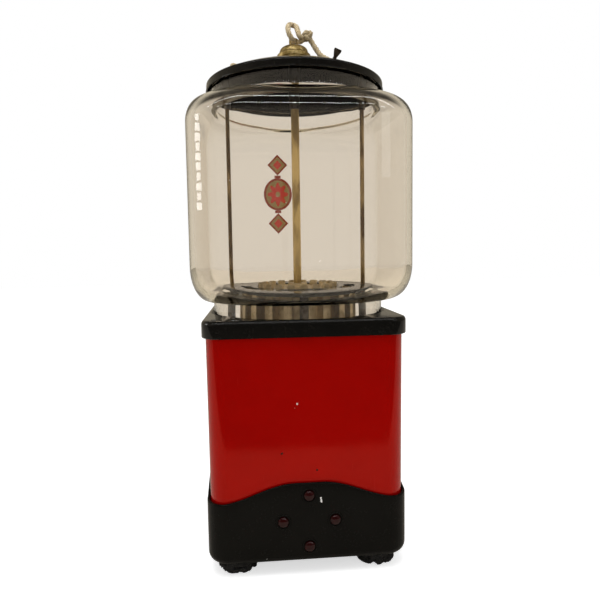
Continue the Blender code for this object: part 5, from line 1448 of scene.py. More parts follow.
    def clip(self, tail: Sequence[Vector]) -> Shape:
        """The small dark clip pinched on the tail: collar, waisted blade and its rounded top.

        Args:
            tail: The tail's centreline.

        Returns:
            The clip, in its place on the tail.
        """
        k = round(self.clip_share * (len(tail) - 1))
        at, along = tail[k], (tail[k + 6] - tail[k - 6]).normalized()
        side = UP.cross(along).normalized()
        rise = along.cross(side)
        place = Matrix((along, side, rise)).transposed().to_4x4()
        place.translation = at
        radius, length = self.collar
        foot, top, height, thick = self.blade
        ring = Shape.tube((radius - 1.0, radius), (-length / 2, length / 2), (0.2, 0.5, 0.5, 0.2), 40)
        low = radius - 0.5
        outline = filleted([
            (-foot, low, 0.0), (foot, low, 0.0), (foot, low + 1.6, 0.8),
            (top, radius + height * 0.8, 1.0), (top, radius + height, 1.2),
            (-top, radius + height, 1.2), (-top, radius + height * 0.8, 1.0), (-foot, low + 1.6, 0.8),
        ])
        blade = Shape.extruded(outline, -thick / 2, thick / 2).put(Matrix.Rotation(pi / 2, 4, "X"))
        return Shape.joined([ring.across(), blade]).put(place)

    def fuzz(self, paths: Sequence[Sequence[Vector]]) -> Shape:
        """Loose fibres that stand off the string, each a thin closed bar.

        Args:
            paths: The stretches that they stand on.

        Returns:
            All fibres as one form.
        """
        chance = random.Random(11)
        hairs = []
        for _ in range(self.fibres):
            path = chance.choice(paths)
            k = chance.randrange(2, len(path) - 2)
            along = (path[k + 1] - path[k - 1]).normalized()
            out = along.orthogonal().normalized()
            out.rotate(Matrix.Rotation(chance.uniform(0, FULL_TURN), 3, along))
            lean = along * chance.uniform(-1.0, 1.0)
            length = chance.uniform(0.7, 2.1)
            root = path[k] + out * self.radius * 0.78
            tip = root + (out + lean).normalized() * length
            bend = (root + tip) / 2 + along * chance.uniform(-0.35, 0.35)
            thick = 0.035
            loops = []
            for at, share in ((root, 1.0), (bend, 0.8), (tip, 0.3)):
                loops.append([
                    at + (out.cross(along) * cos(a) + along * sin(a)) * thick * share
                    for a in (0.0, FULL_TURN / 3, 2 * FULL_TURN / 3)
                ])
            hairs.append(Shape.lofted(loops))
        return Shape.joined(hairs)

    def build(self) -> None:
        loop = self.route(self.loop_route)
        tail = self.route(self.tail_fall, self.tail_lid)
        end = self.route(self.end_fall, self.end_lid)
        knot = self.shop.piece("overhand_knot", self.knot(), WHITE_COTTON, "string_knot", Body.NUT, 60)
        clip = self.clip(tail)
        clip = self.shop.piece("tail_clip", clip, BROWNED_STEEL, "string_clip", Body.NUT, bevel=0.2)
        for name, path, node, far_end, extras, pinched in (
            ("loop_of_string", loop, "string_loop", "knot", [knot], (True, False)),
            ("tail_of_string", tail, "string_tail", "bare", [clip], (False, True)),
            ("short_end_of_string", end, "string_short_end", "bare", [], (True, True)),
        ):
            shape = self.twisted(path, self.radius, pinched)
            cord = self.shop.piece(name, shape, WHITE_COTTON, node, Body.NUT, 60)
        self.shop.piece("string_fibres", self.fuzz([loop, tail, end]), WHITE_COTTON, body=Body.NUT)


# Globe and rods


@dataclass
class Globe(SubAssembly):
    """The rounded square glass jar, the ring that it stands on and the badge on its front."""

    bottom: float = 187.5
    top: float = 365.0
    foot: float = 69.2
    half: float = 83.0
    corner: float = 38.0
    wall: float = 4.0
    lower_bend: float = 37.0
    lower_bend_top: float = 226.3
    upper_bend: float = 23.0
    upper_bend_start: float = 329.0
    neck: float = 67.5
    bend_end: float = radians(86)
    bend_wall_share: float = 0.8
    squareness: float = 2.6
    neck_fillet: float = 3.4
    rim: float = 0.5
    rows: int = 20
    gasket: Four = (65.2, 69.2, 185.8, 187.2)
    badge_at: Pair = (11.0, 292.5)
    badge_sheet: float = 0.08
    badge_medallion: Pair = (13.6, 15.5)
    badge_lozenge: Pair = (9.6, 10.0)
    badge_offset: float = 28.0
    badge_line: float = 2.2
    badge_bar: float = 3.0

    def skin(self, offset: float, directions: Sequence[float]) -> list[Loop]:
        """One skin of the jar from its foot up, that far inside the outer one.

        Args:
            offset: How far it is inside the outer skin.
            directions: Directions of its points round the axis.

        Returns:
            Its loops.
        """
        foot, neck = self.foot - offset, self.neck - offset
        half, corner = self.half - offset, self.corner - offset
        inward = self.rim if offset == 0 else -self.rim
        loops = []
        for cosine, sine in quarter(4):
            z = self.bottom + self.rim * (1 - cosine)
            loops.append(round_loop(foot - inward * (1 - sine), z, directions))
        for bend, height, sign, narrow in (
            (self.lower_bend, self.lower_bend_top, -1, foot),
            (self.upper_bend, self.upper_bend_start, 1, neck),
        ):
            deep = bend * sin(acos(1 - (half - narrow) / bend)) - self.bend_wall_share * offset
            order = range(self.rows, -1, -1) if sign < 0 else range(self.rows + 1)
            for i in order:
                a = self.bend_end * i / self.rows
                share = (1 - cos(a)) / (1 - cos(self.bend_end))
                width = half - (half - narrow) * share
                turn = corner + (width - corner) * share ** self.squareness
                z = height + sign * deep * sin(a) / sin(self.bend_end)
                loops.append(square_loop(width, min(turn, width), z, directions))
        before, meeting = loops[-3], loops[-1]
        after = round_loop(neck, meeting[0].z + self.neck_fillet, directions)
        del loops[-2:]
        for k in range(1, 7):
            t = k / 6
            loops.append([a.lerp(b, t).lerp(b.lerp(c, t), t) for a, b, c in zip(before, meeting, after)])
        for cosine, sine in quarter(4):
            z = self.top - self.rim * (1 - sine)
            loops.append(round_loop(neck - inward * (1 - cosine), z, directions))
        return loops

    def patch(self, outline: Outline, coat: int) -> Shape:
        """A thin printed patch just off the front of the glass."""
        out = -self.half - self.badge_sheet
        return Shape.extruded(outline, 0.0, self.badge_sheet / 2, coat).facing_front().shifted(y=out)

    def nested(self, outlines: Sequence[Outline], coats: Sequence[int], up: float = 0.0) -> list[Shape]:
        """Printed bands laid one inside the other on the front of the glass.

        Args:
            outlines: Outlines with the same number of points, from the outside in.
            coats: The coat inside each outline, as far as the next one.
            up: How far their middle is above the badge's.

        Returns:
            The bands, and the patch that fills the last outline.
        """
        back = -self.half - self.badge_sheet
        front = back - self.badge_sheet / 2
        shapes = []
        for outer, inner, coat in zip(outlines, outlines[1:], coats):
            edges = ((outer, back), (outer, front), (inner, front), (inner, back))
            band = [[Vector((x, y, z + up)) for x, z in edge] for edge, y in edges]
            shapes.append(Shape.lofted(band, ring=True, coat=coat))
        return [*shapes, self.patch([(x, z + up) for x, z in outlines[-1]], coats[-1])]

    @staticmethod
    def scalloped(reach: Pair, waves: int, depth: float, points: int) -> Outline:
        """An oval whose edge waves in and out, with that depth as a share of its size.

        Args:
            reach: Half its width and height.
            waves: How often it waves.
            depth: How deep, as a share of its size.
            points: How many points it has.

        Returns:
            The outline.
        """
        outline = []
        for i in range(points):
            a = FULL_TURN * i / points
            swell = 1 + depth * cos(waves * a)
            outline.append((polar(reach[0] * swell, a)[0], polar(reach[1] * swell, a)[1]))
        return outline

    def badge(self) -> Shape:
        """A plain transfer: an oval with a rosette between two lozenges on bars, olive edged in red.

        Returns:
            The badge in its place.
        """
        wide, tall = self.badge_medallion
        small_wide, small_tall = self.badge_lozenge
        line = self.badge_line
        oval = [self.scalloped((wide - inset, tall - inset), 0, 0.0, 96) for inset in (0.0, line)]
        rosette = self.scalloped((0.6 * wide, 0.6 * tall), 8, 0.24, 96)
        eye = self.scalloped((0.17 * wide, 0.17 * tall), 0, 0.0, 96)
        shapes = self.nested([*oval, rosette, eye], (0, 1, 2, 1))
        for side in (-1, 1):
            insets = (0.0, line, 2.5 * line)
            lozenges = [self.scalloped((small_wide - by, small_tall - by), 0, 0.0, 4) for by in insets]
            shapes += self.nested(lozenges, (0, 1, 2), side * self.badge_offset)
            low, high = sorted((side * tall, side * (self.badge_offset - small_tall)))
            bar = self.badge_bar
            shapes.append(self.patch([(-bar, low), (bar, low), (bar, high), (-bar, high)], 0))
        x, z = self.badge_at
        return Shape.joined(shapes).shifted(x=x, z=z)

    def build(self) -> None:
        """Build and dress the jar, its foot ring and the badge."""
        directions = square_directions(self.half, self.corner, 20, 7)
        loops = self.skin(0.0, directions) + list(reversed(self.skin(self.wall, directions)))
        self.shop.piece("glass_globe", Shape.lofted(loops, ring=True), GLASS, "globe", smooth=70)
        ring = Shape.tube(self.gasket[:2], self.gasket[2:], (0.5, 0.5, 0.5, 0.5), 128)
        self.shop.piece("globe_foot_ring", ring, GASKET_RUBBER, "foot_gasket")
        self.shop.piece("front_badge", self.badge(), [BADGE_RED, BADGE_OLIVE, BADGE_PETAL])


@dataclass
class Rods(SubAssembly):
    """The brass centre rod with its threads and bottom nut, and the two thin side rods."""

    radius: float = 3.25
    bottom: float = 4.0
    top: float = 393.1
    thread_pitch: float = 1.1
    thread_depth: float = 0.35
    threads: tuple[Pair, ...] = ((4.6, 22.0), (372.0, 392.4))
    side_radius: float = 1.65
    side_offset: float = 55.0
    side_bottom: float = 182.5
    side_top: float = 366.0
    nut_across: float = 12.7
    nut_z: Pair = (7.1, 12.1)

    def rod_outline(self) -> Outline:
        """The centre rod's section with its cut threads.

        Returns:
            (radius, height) of its points.
        """
        points = [(0.0, self.bottom), (self.radius - 0.6, self.bottom), (self.radius, self.bottom + 0.6)]
        for low, high in self.threads:
            for i in range(int((high - low) / self.thread_pitch)):
                z = low + self.thread_pitch * i
                for share, depth in ((0.12, 0), (0.45, 1), (0.62, 1), (0.95, 0)):
                    points.append((self.radius - self.thread_depth * depth, z + self.thread_pitch * share))
        points += [(self.radius, self.top - 0.6), (self.radius - 0.6, self.top), (0.0, self.top)]
        return points

    def build(self) -> None:
        """Build and dress the rods and the bottom nut."""
        self.shop.piece("brass_centre_rod", Shape.turned(self.rod_outline(), 40), OLD_BRASS, "centre_rod")
        bar = Shape.tube((0.0, self.side_radius), (self.side_bottom, self.side_top), (0.0, 0.3, 0.5, 0.0), 28)
        for side, where in SIDES:
            rod = bar.shifted(x=side * self.side_offset)
            self.shop.piece(f"brass_side_rod_{where}", rod, RUSTY_BRASS, f"side_rod_{where}")
        low, high = self.nut_z
        reach = self.nut_across / 2 / cos(pi / 6)
        nut = self.shop.mesh("bottom_hex_nut", Shape.extruded(round_outline(reach, 6), low, high))
        self.shop.cut(nut, [Shape.extruded(round_outline(self.radius + CLEAR), low - 1, high + 1)])
        self.shop.bevel(nut, 0.35)
        self.shop.dress(nut, STEEL, "rod_bottom_nut")


# Hopper and dispensing wheel


@dataclass
class Hopper(SubAssembly):
    """The black hopper plate with its feed windows, on four posts."""

    radius: float = 63.0
    top: float = 205.8
    sheet: float = 1.4
    hole: float = 33.6
    lip: float = 1.5
    feed: Pair = (38.5, 47.5)
    feed_half: float = radians(24)
    feed_at: tuple[float, ...] = (radians(20), radians(90), radians(160))
    rod_hole: float = 1.95
    post_radius: float = 3.2
    post_z: Pair = (185.8, 204.1)
    side_offset: float = 55.0
    end_offset: float = 56.5

    def window(self, middle: float) -> Shape:
        """The cutter of one curved feed window with rounded ends.

        Args:
            middle: Direction of the window from the axis.

        Returns:
            The cutter.
        """
        inner, outer = self.feed
        arc = [middle + self.feed_half * (k / 12 - 1) for k in range(25)]
        outline = [polar(outer, a) for a in arc] + [polar(inner, a) for a in reversed(arc)]
        return Shape.extruded(outline, self.top - 6, self.top + 4)

    def build(self) -> None:
        """Build and dress the plate and its posts."""
        low = self.top - self.sheet
        plate = self.shop.mesh("hopper_disc", Shape.turned(filleted([
            (self.hole, low, 0.4), (self.radius - self.lip, low, 0.6),
            (self.radius - self.lip * 0.7, low - self.lip, 0.3), (self.radius, low - self.lip, 0.4),
            (self.radius, self.top, 1.0), (self.hole, self.top, 0.5),
        ]), 128))
        tools = [self.window(middle) for middle in self.feed_at]
        hole = Shape.extruded(round_outline(self.rod_hole, 24), low - 4, self.top + 4)
        tools += [hole.shifted(x=side * self.side_offset) for side in (-1, 1)]
        self.shop.cut(plate, tools)
        self.shop.dress(plate, BLACK_ENAMEL, "hopper_plate")
        tube = Shape.tube((self.rod_hole, self.post_radius), self.post_z, (0.2, 0.4, 0.4, 0.2), 32)
        post = Shape.tube((0.0, self.post_radius), self.post_z, (0.0, 0.4, 0.4, 0.0), 32)
        for side, across, along in ((-1, "left", "front"), (1, "right", "back")):
            spacer = tube.shifted(x=side * self.side_offset)
            self.shop.piece(f"hopper_tube_{across}", spacer, STEEL, f"hopper_post_{across}")
            bar = post.shifted(y=side * self.end_offset)
            self.shop.piece(f"hopper_pillar_{along}", bar, STEEL, f"hopper_post_{along}")


@dataclass
class PocketWheel(SubAssembly):
    """The cast dispensing wheel: pocketed rim, web, hub, crown of fins and a face gear underneath."""

    pockets: int = 20
    radius: float = 48.0
    wall: float = 37.0
    inner: float = 29.5
    gear_outer: float = 33.5
    bottom: float = 185.8
    top: float = 203.8
    web: float = 3.0
    hub: float = 8.0
    hub_bottom: float = 182.5
    hub_top: float = 208.6
    bore: float = 3.55
    fin_share: float = 0.42
    crown_top: float = 209.3
    crown: Pair = (29.2, 32.6)
    crown_share: float = 0.6
    first_gap: float = radians(85.3)
    teeth: int = 28
    tooth_pitch_z: float = 176.0
    tooth_share: float = 0.42
    addendum: float = 1.8
    dedendum: float = 2.475
    lean: float = tan(radians(25)) / 31.5

    def body(self) -> Shape:
        """Web, walls and hub as one turned form.

        Returns:
            The form.
        """
        skirt = self.tooth_pitch_z + self.dedendum + 0.8
        return Shape.turned(filleted([
            (self.bore, self.hub_bottom, 0.3), (self.hub, self.hub_bottom, 0.5),
            (self.hub, self.top - self.web, 1.0), (self.inner, self.top - self.web, 1.0),
            (self.inner, skirt, 0.3), (self.gear_outer, skirt, 0.3), (self.gear_outer, self.bottom, 0.4),
            (self.wall, self.bottom, 0.6), (self.wall, self.top, 0.6), (self.hub, self.top, 1.2),
            (self.hub, self.hub_top, 0.8), (self.bore, self.hub_top, 0.3),
        ]), 128)

    def sector(self, middle: float, half: float, radii: Pair, low: float, outline: Outline) -> Shape:
        """A form that stands on the wheel between two radii.

        Args:
            middle: Its direction from the axis.
            half: Half the angle that it covers.
            radii: Inner and outer radius.
            low: Height of its foot.
            outline: Its front, as (-1 to 1 across, height over its foot).

        Returns:
            The form.
        """
        loops = []
        for radius in (radii[0], (radii[0] + radii[1]) / 2, radii[1]):
            loop = []
            for across, up in outline:
                loop.append(Vector((*polar(radius, middle + half * across), low + up)))
            loops.append(loop)
        return Shape.lofted(loops)

    def build(self) -> None:
        """Build and dress the wheel."""
        pitch = FULL_TURN / self.pockets
        shapes = [self.body()]
        tall = self.top - self.bottom - 0.8
        rim_fin = [(-1, 0), (1, 0), (1, tall), (-1, tall)]
        rise = self.crown_top - self.top + 0.6
        turns = [pi / 2 * (k / 6 - 1) for k in range(13)]
        arch = [(sin(a), rise - 1.3 * (1 - cos(a)) ** 1.6) for a in turns]
        crown_fin = [(-1, 0.0), *arch, (1, 0.0)]
        for i in range(self.pockets):
            middle = self.first_gap + pitch * (i + 0.5)
            shapes.append(self.sector(
                middle, pitch * self.fin_share / 2, (self.wall - 0.8, self.radius), self.bottom + 0.4, rim_fin
            ))
            shapes.append(self.sector(
                middle, pitch * self.crown_share / 2, self.crown, self.top - 0.6, crown_fin
            ))
        heights = (self.top - 0.5, self.top + 0.8)
        shapes.append(Shape.tube(self.crown, heights, (0.0, 0.0, 0.3, 0.3), 128))
        step = FULL_TURN / self.teeth
        thick = step * self.tooth_share / 2
        tip, root = thick - self.addendum * self.lean, thick + self.dedendum * self.lean
        deep = self.addendum + self.dedendum
        half_tooth = [(tip / thick, 0.0), (root / thick, deep), (root / thick, deep + 1.2)]
        tooth = [(-x, z) for x, z in reversed(half_tooth)] + half_tooth
        for i in range(self.teeth):
            shapes.append(self.sector(
                -pi / 2 + step * i, thick, (self.inner + 0.2, self.gear_outer - 0.2),
                self.tooth_pitch_z - self.addendum, tooth
            ))
        wheel = Shape.joined(shapes)
        self.shop.piece("pocket_wheel", wheel, CAST_ALLOY, "dispensing_wheel", Body.WHEEL, bevel=0.35)


# Top plate and body


@dataclass
class TopPlate(SubAssembly):
    """The black plate under the globe: rolled edge, round recess, well, outlet and rod holes."""

    half: float = 74.8
    corner: float = 15.5
    lower_edge: float = 175.6
    top: float = 188.2
    edge: float = 3.2
    recess: float = 71.6
    recess_slope: float = 0.8
    deck: Pair = (182.5, 185.5)
    well: float = 34.3
    inner_half: float = 72.4
    inner_corner: float = 13.8
    outlet: Triple = (22.34, -36.74, 6.0)
    rod_hole: float = 1.95
    rod_offset: float = 55.0

    def build(self) -> None:
        """Build and dress the plate."""
        directions = square_directions(self.half, self.corner, 14, 12)
        deck_low, deck_top = self.deck
        start = self.half - self.recess - self.recess_slope
        rows = [
            (self.half - 0.5, self.corner - 0.5, self.lower_edge),
            (self.half - 0.1, self.corner, self.lower_edge + 0.3),
            (self.half, self.corner, self.lower_edge + 0.8),
        ]
        for cosine, sine in quarter(8):
            drop = start * (1 - cosine)
            rows.append((self.half - drop, self.corner - drop, self.top - self.edge * (1 - sine)))
        inner = self.recess - self.recess_slope
        rows += [(radius, radius, z) for radius, z in (
            (self.recess + 0.25, self.top), (self.recess - 0.1, self.top - 0.35),
            (inner + 0.1, deck_top + 0.4), (inner - 0.4, deck_top),
            (self.well + 0.4, deck_top), (self.well, deck_top - 0.4),
            (self.well, deck_low + 0.4), (self.well + 0.4, deck_low),
        )]
        rows += [
            (self.inner_half, self.inner_corner, deck_low),
            (self.inner_half, self.inner_corner, self.lower_edge + 0.3),
            (self.inner_half + 0.3, self.inner_corner, self.lower_edge),
        ]
        plate = self.shop.mesh("plate_under_globe", Shape.ringed(rows, directions))
        x, y, radius = self.outlet
        low, high = deck_low - 3, deck_top + 3
        tools = [Shape.extruded(round_outline(radius, 40), low, high).shifted(x=x, y=y)]
        hole = Shape.extruded(round_outline(self.rod_hole, 24), low, high)
        tools += [hole.shifted(x=side * self.rod_offset) for side, _ in SIDES]
        self.shop.cut(plate, tools)
        self.shop.dress(plate, BLACK_ENAMEL, "top_plate")


@dataclass(frozen=True)
class FrontOpenings:
    """Mouth, shaft hole, coin slot and screw holes, which go through the shell and the coin front alike."""

    mouth: Four = (14.0, 77.5, 97.5, 3.0)
    shaft: Pair = (4.3, 140.0)
    slot: Triple = (22.5, 2.3, 165.0)
    screws: Triple = (21.5, 167.5, 78.5)

    def cutters(self, y: float, reach: Pair, screw_radius: float, steps: tuple[int, int]) -> list[Shape]:
        """Shapes that cut the openings.

        Args:
            y: Where they stand.
            reach: How far they go behind and before that.
            screw_radius: Radius of the screw holes.
            steps: Faces round the shaft hole and round a screw hole.

        Returns:
            One shape for each opening.
        """
        half, low, high, corner = self.mouth
        long_way, wide, slot_z = self.slot
        x, top, foot = self.screws
        spots = [
            (rounded_rectangle(long_way / 2, wide / 2, wide / 2 - CLEAR), 0.0, slot_z),
            (round_outline(self.shaft[0], steps[0]), 0.0, self.shaft[1]),
            (rounded_rectangle(half, (high - low) / 2, corner), 0.0, (low + high) / 2),
        ]
        spots += [(round_outline(screw_radius, steps[1]), sx * x, z) for sx, _ in SIDES for z in (top, foot)]
        return [Shape.extruded(line, *reach).facing_front().shifted(x=x, y=y, z=z) for line, x, z in spots]


@dataclass
class BodyShell(SubAssembly):
    """The red sheet-metal shell with the openings in its front wall."""

    half_top: float = 72.1
    half_bottom: float = 71.5
    corner: float = 13.8
    wall: float = 1.3
    bottom: float = 17.3
    top: float = 182.2
    screw_hole: float = 1.9
    openings: FrontOpenings = FrontOpenings()

    def build(self) -> None:
        """Build and dress the shell."""
        directions = square_directions(self.half_top, self.corner, 14, 10)
        outside = []
        for i in range(25):
            z = self.bottom + (self.top - self.bottom) * i / 24
            share = (z - self.bottom) / (self.top - self.bottom)
            outside.append((self.half_bottom + (self.half_top - self.half_bottom) * share, self.corner, z))
        inside = [(half - self.wall, corner - self.wall, z) for half, corner, z in reversed(outside)]
        shell = self.shop.mesh("red_body", Shape.ringed(outside + inside, directions))
        deep, middle = self.wall + 2, -(self.half_top - self.wall / 2)
        self.shop.cut(shell, self.openings.cutters(middle, (-deep, deep), self.screw_hole, (32, 20)))
        self.shop.dress(shell, RED_ENAMEL, "body_shell")


# Base


@dataclass
class Base(SubAssembly):
    """The arched black base skirt with its jewels, the bottom pan and the rubber feet."""

    half: float = 74.1
    corner: float = 15.0
    wall: float = 2.1
    bottom: float = 10.0
    curl: float = 5.0
    curl_height: float = 7.0
    lip: float = 9.0
    arch_low: float = 56.0
    arch_rise: float = 13.5
    arch_flat: float = 10.0
    arch_end: float = 67.0
    jewel_radius: float = 3.9
    stem_radius: float = 2.9
    dome: float = 2.4
    jewel_z: float = 41.4
    spread: float = 19.0
    bezel: Triple = (4.3, 5.6, 0.75)
    pan: Four = (66.4, 10.0, 12.4, 13.9)
    rod_clear: float = 3.55
    foot: Triple = (9.7, 15.8, 14.8)
    foot_offset: float = 52.5

    def arch(self, along: float) -> float:
        """Height of the skirt's upper edge at a distance from the middle of a face."""
        t = min(max((abs(along) - self.arch_flat) / (self.arch_end - self.arch_flat), 0.0), 1.0)
        return self.arch_low + self.arch_rise * (0.5 + 0.5 * cos(pi * t))

    def upper_edge(self, half: float, corner: float, drop: float, directions: Sequence[float]) -> Loop:
        """A loop that follows the arch, that far below its top.

        Args:
            half: Half the width.
            corner: The corner radius.
            drop: How far below the top.
            directions: Directions of its points.

        Returns:
            The loop.
        """
        loop = square_loop(half, corner, 0.0, directions)
        for p in loop:
            p.z = self.arch(min(abs(p.x), abs(p.y))) - drop
        return loop

    def curl_loops(
        self, half: float, corner: float, inward: float, directions: Sequence[float]
    ) -> list[Loop]:
        """The curled lower edge, from the lip out and up to the straight wall.

        Args:
            half: Half the width over it.
            corner: The corner radius over it.
            inward: How far inside the sheet's outer skin.
            directions: Directions of its points.

        Returns:
            The loops.
        """
        loops = []
        for cosine, sine in quarter(8):
            drop = self.curl * (1 - sine)
            z = self.bottom + self.curl_height * (1 - cosine) + inward * cosine
            loops.append(square_loop(half - drop, corner - drop / 2, z, directions))
        return loops

    def skirt(self) -> Shape:
        """The skirt's wall, with its rounded arched top and curled foot.

        Returns:
            The form.
        """
        directions = square_directions(self.half, self.corner, 14, 30)
        inner_half, inner_corner = self.half - self.wall, self.corner - self.wall
        lip_half, lip_corner = self.half - self.curl - self.lip, self.corner - self.curl
        outer = self.curl_loops(self.half, self.corner, 0.0, directions)
        inner = self.curl_loops(inner_half, inner_corner, self.wall, directions)
        start = outer[-1]
        top = self.upper_edge(self.half, self.corner, 1.0, directions)
        for share in (0.25, 0.5, 0.75):
            outer.append([low.lerp(high, share) for low, high in zip(start, top)])
        edge = []
        round_half = self.wall / 2
        for i in range(9):
            cosine, sine = polar(1.0, pi * i / 8)
            inset, drop = round_half * (1 - cosine), round_half * (1 - sine)
            edge.append(self.upper_edge(self.half - inset, self.corner - inset, drop, directions))
        loops = [square_loop(lip_half, lip_corner, self.bottom, directions), *outer, *edge, *inner[::-1]]
        loops.append(square_loop(lip_half, lip_corner, self.bottom + self.wall, directions))
        return Shape.lofted(loops, ring=True)

    def jewel_spots(self) -> Iterator[tuple[str, Matrix]]:
        """Each jewel's CAD node and the matrix that seats a form made about Z on its face.

        Yields:
            The node's name and the matrix, jewel by jewel.
        """
        spots = (("top", 0, 1), ("bottom", 0, -1), ("near", -1, 0), ("far", 1, 0))
        for face in JewelledFace:
            turn = face.value
            for spot, across, up in spots:
                seat = Vector((self.half, across * self.spread, self.jewel_z + up * self.spread))
                seated = Matrix.Translation(seat) @ Matrix.Rotation(pi / 2, 4, "Y")
                yield f"jewel_{face.name.lower()}_{spot}", Matrix.Rotation(turn, 4, "Z") @ seated

    def jewel(self) -> Shape:
        """A domed jewel with a stem, standing on the skirt."""
        stem, head = (self.stem_radius, self.wall - CLEAR), (self.jewel_radius, self.dome, 0.1)
        return Shape.domed(stem, head, 10, 40)

    def bezel_ring(self) -> Shape:
        """The raised ring pressed up round a jewel.

        Returns:
            The ring, about the jewel's axis.
        """
        inner, outer, high = self.bezel
        return Shape.turned(filleted([
            (inner, -0.4, 0.0), (outer + 0.5, -0.4, 0.0), (outer + 0.1, 0.1, 0.4),
            (outer - 0.2, high, 0.5), (inner + 0.1, high, 0.4),
        ]), 56)

    def foot_form(self, seed: float) -> Shape:
        """A perished rubber foot with a crumbled edge.

        Args:
            seed: Shifts the crumbling, so that no two feet match.

        Returns:
            The foot, about its own axis.
        """
        height, top, low = self.foot
        profile = filleted([(0.0, 0.0, 0.0), (low, 0.0, 1.4), (top, height, 1.2), (0.0, height, 0.0)], 6)
        dense: Outline = []
        for (r0, z0), (r1, z1) in zip(profile, profile[1:]):
            cuts = max(1, round(hypot(r1 - r0, z1 - z0)))
            dense += [(r0 + (r1 - r0) * k / cuts, z0 + (z1 - z0) * k / cuts) for k in range(cuts)]
        shape = Shape.turned(dense + [profile[-1]], 72)
        for p in shape.points:
            reach = hypot(p.x, p.y)
            if reach < 4:
                continue
            coarse = noise.noise(Vector((p.x, p.y, p.z * 1.4)) * 0.26 + Vector((seed, 0, 0)))
            fine = noise.noise(p * 0.9 + Vector((0, seed, 0)))
            bite = max(0.0, coarse * 4.5 + fine * 1.6 - 0.2)
            share = min(max((reach - 4) / 6, 0.0), 1.0)
            bite *= share * (0.35 if p.z > height - 0.8 else 1.0)
            p.x *= (reach - bite) / reach
            p.y *= (reach - bite) / reach
            torn = noise.noise(Vector((p.x, p.y, 0.0)) * 0.15 + Vector((seed * 3, 0, 0))) + 0.5 * fine
            lift = max(0.0, torn) * share * 5.5
            p.z += lift * max(0.0, 1 - p.z / height)
        return shape

    def build(self) -> None:
        """Build and dress the skirt, jewels, pan and feet."""
        skirt = self.shop.mesh("arched_skirt", self.skirt())
        stem = Shape.extruded(round_outline(self.stem_radius + CLEAR, 24), -self.wall - 1, 1)
        self.shop.cut(skirt, [Shape.joined([stem.put(place) for _, place in self.jewel_spots()])])
        self.shop.dress(skirt, SKIRT_ENAMEL, "base_skirt")
        bezels = Shape.joined([self.bezel_ring().put(place) for _, place in self.jewel_spots()])
        self.shop.piece("jewel_bezels", bezels, SKIRT_ENAMEL)
        for node, place in self.jewel_spots():
            self.shop.piece(f"red_{node}", self.jewel().put(place), RED_JEWEL, node)
        half, corner, low, high = self.pan
        directions = square_directions(half, corner, 8, 4)
        edge, hole = 0.3, self.rod_clear
        rows = [
            (half - edge, corner, low), (half, corner, low + edge), (half, corner, high - edge),
            (half - edge, corner, high), (hole, hole, high), (hole, hole, low),
        ]
        self.shop.piece("flat_bottom_pan", Shape.ringed(rows, directions), BLACK_ENAMEL, "bottom_pan")
        corners = (("front_left", -1, -1), ("front_right", 1, -1), ("back_left", -1, 1), ("back_right", 1, 1))
        for k, (where, sx, sy) in enumerate(corners):
            foot = self.foot_form(7.3 * k + 1.7).shifted(x=sx * self.foot_offset, y=sy * self.foot_offset)
            self.shop.piece(f"rubber_foot_{where}", foot, PERISHED_RUBBER, f"foot_{where}", smooth=50)


# Coin front


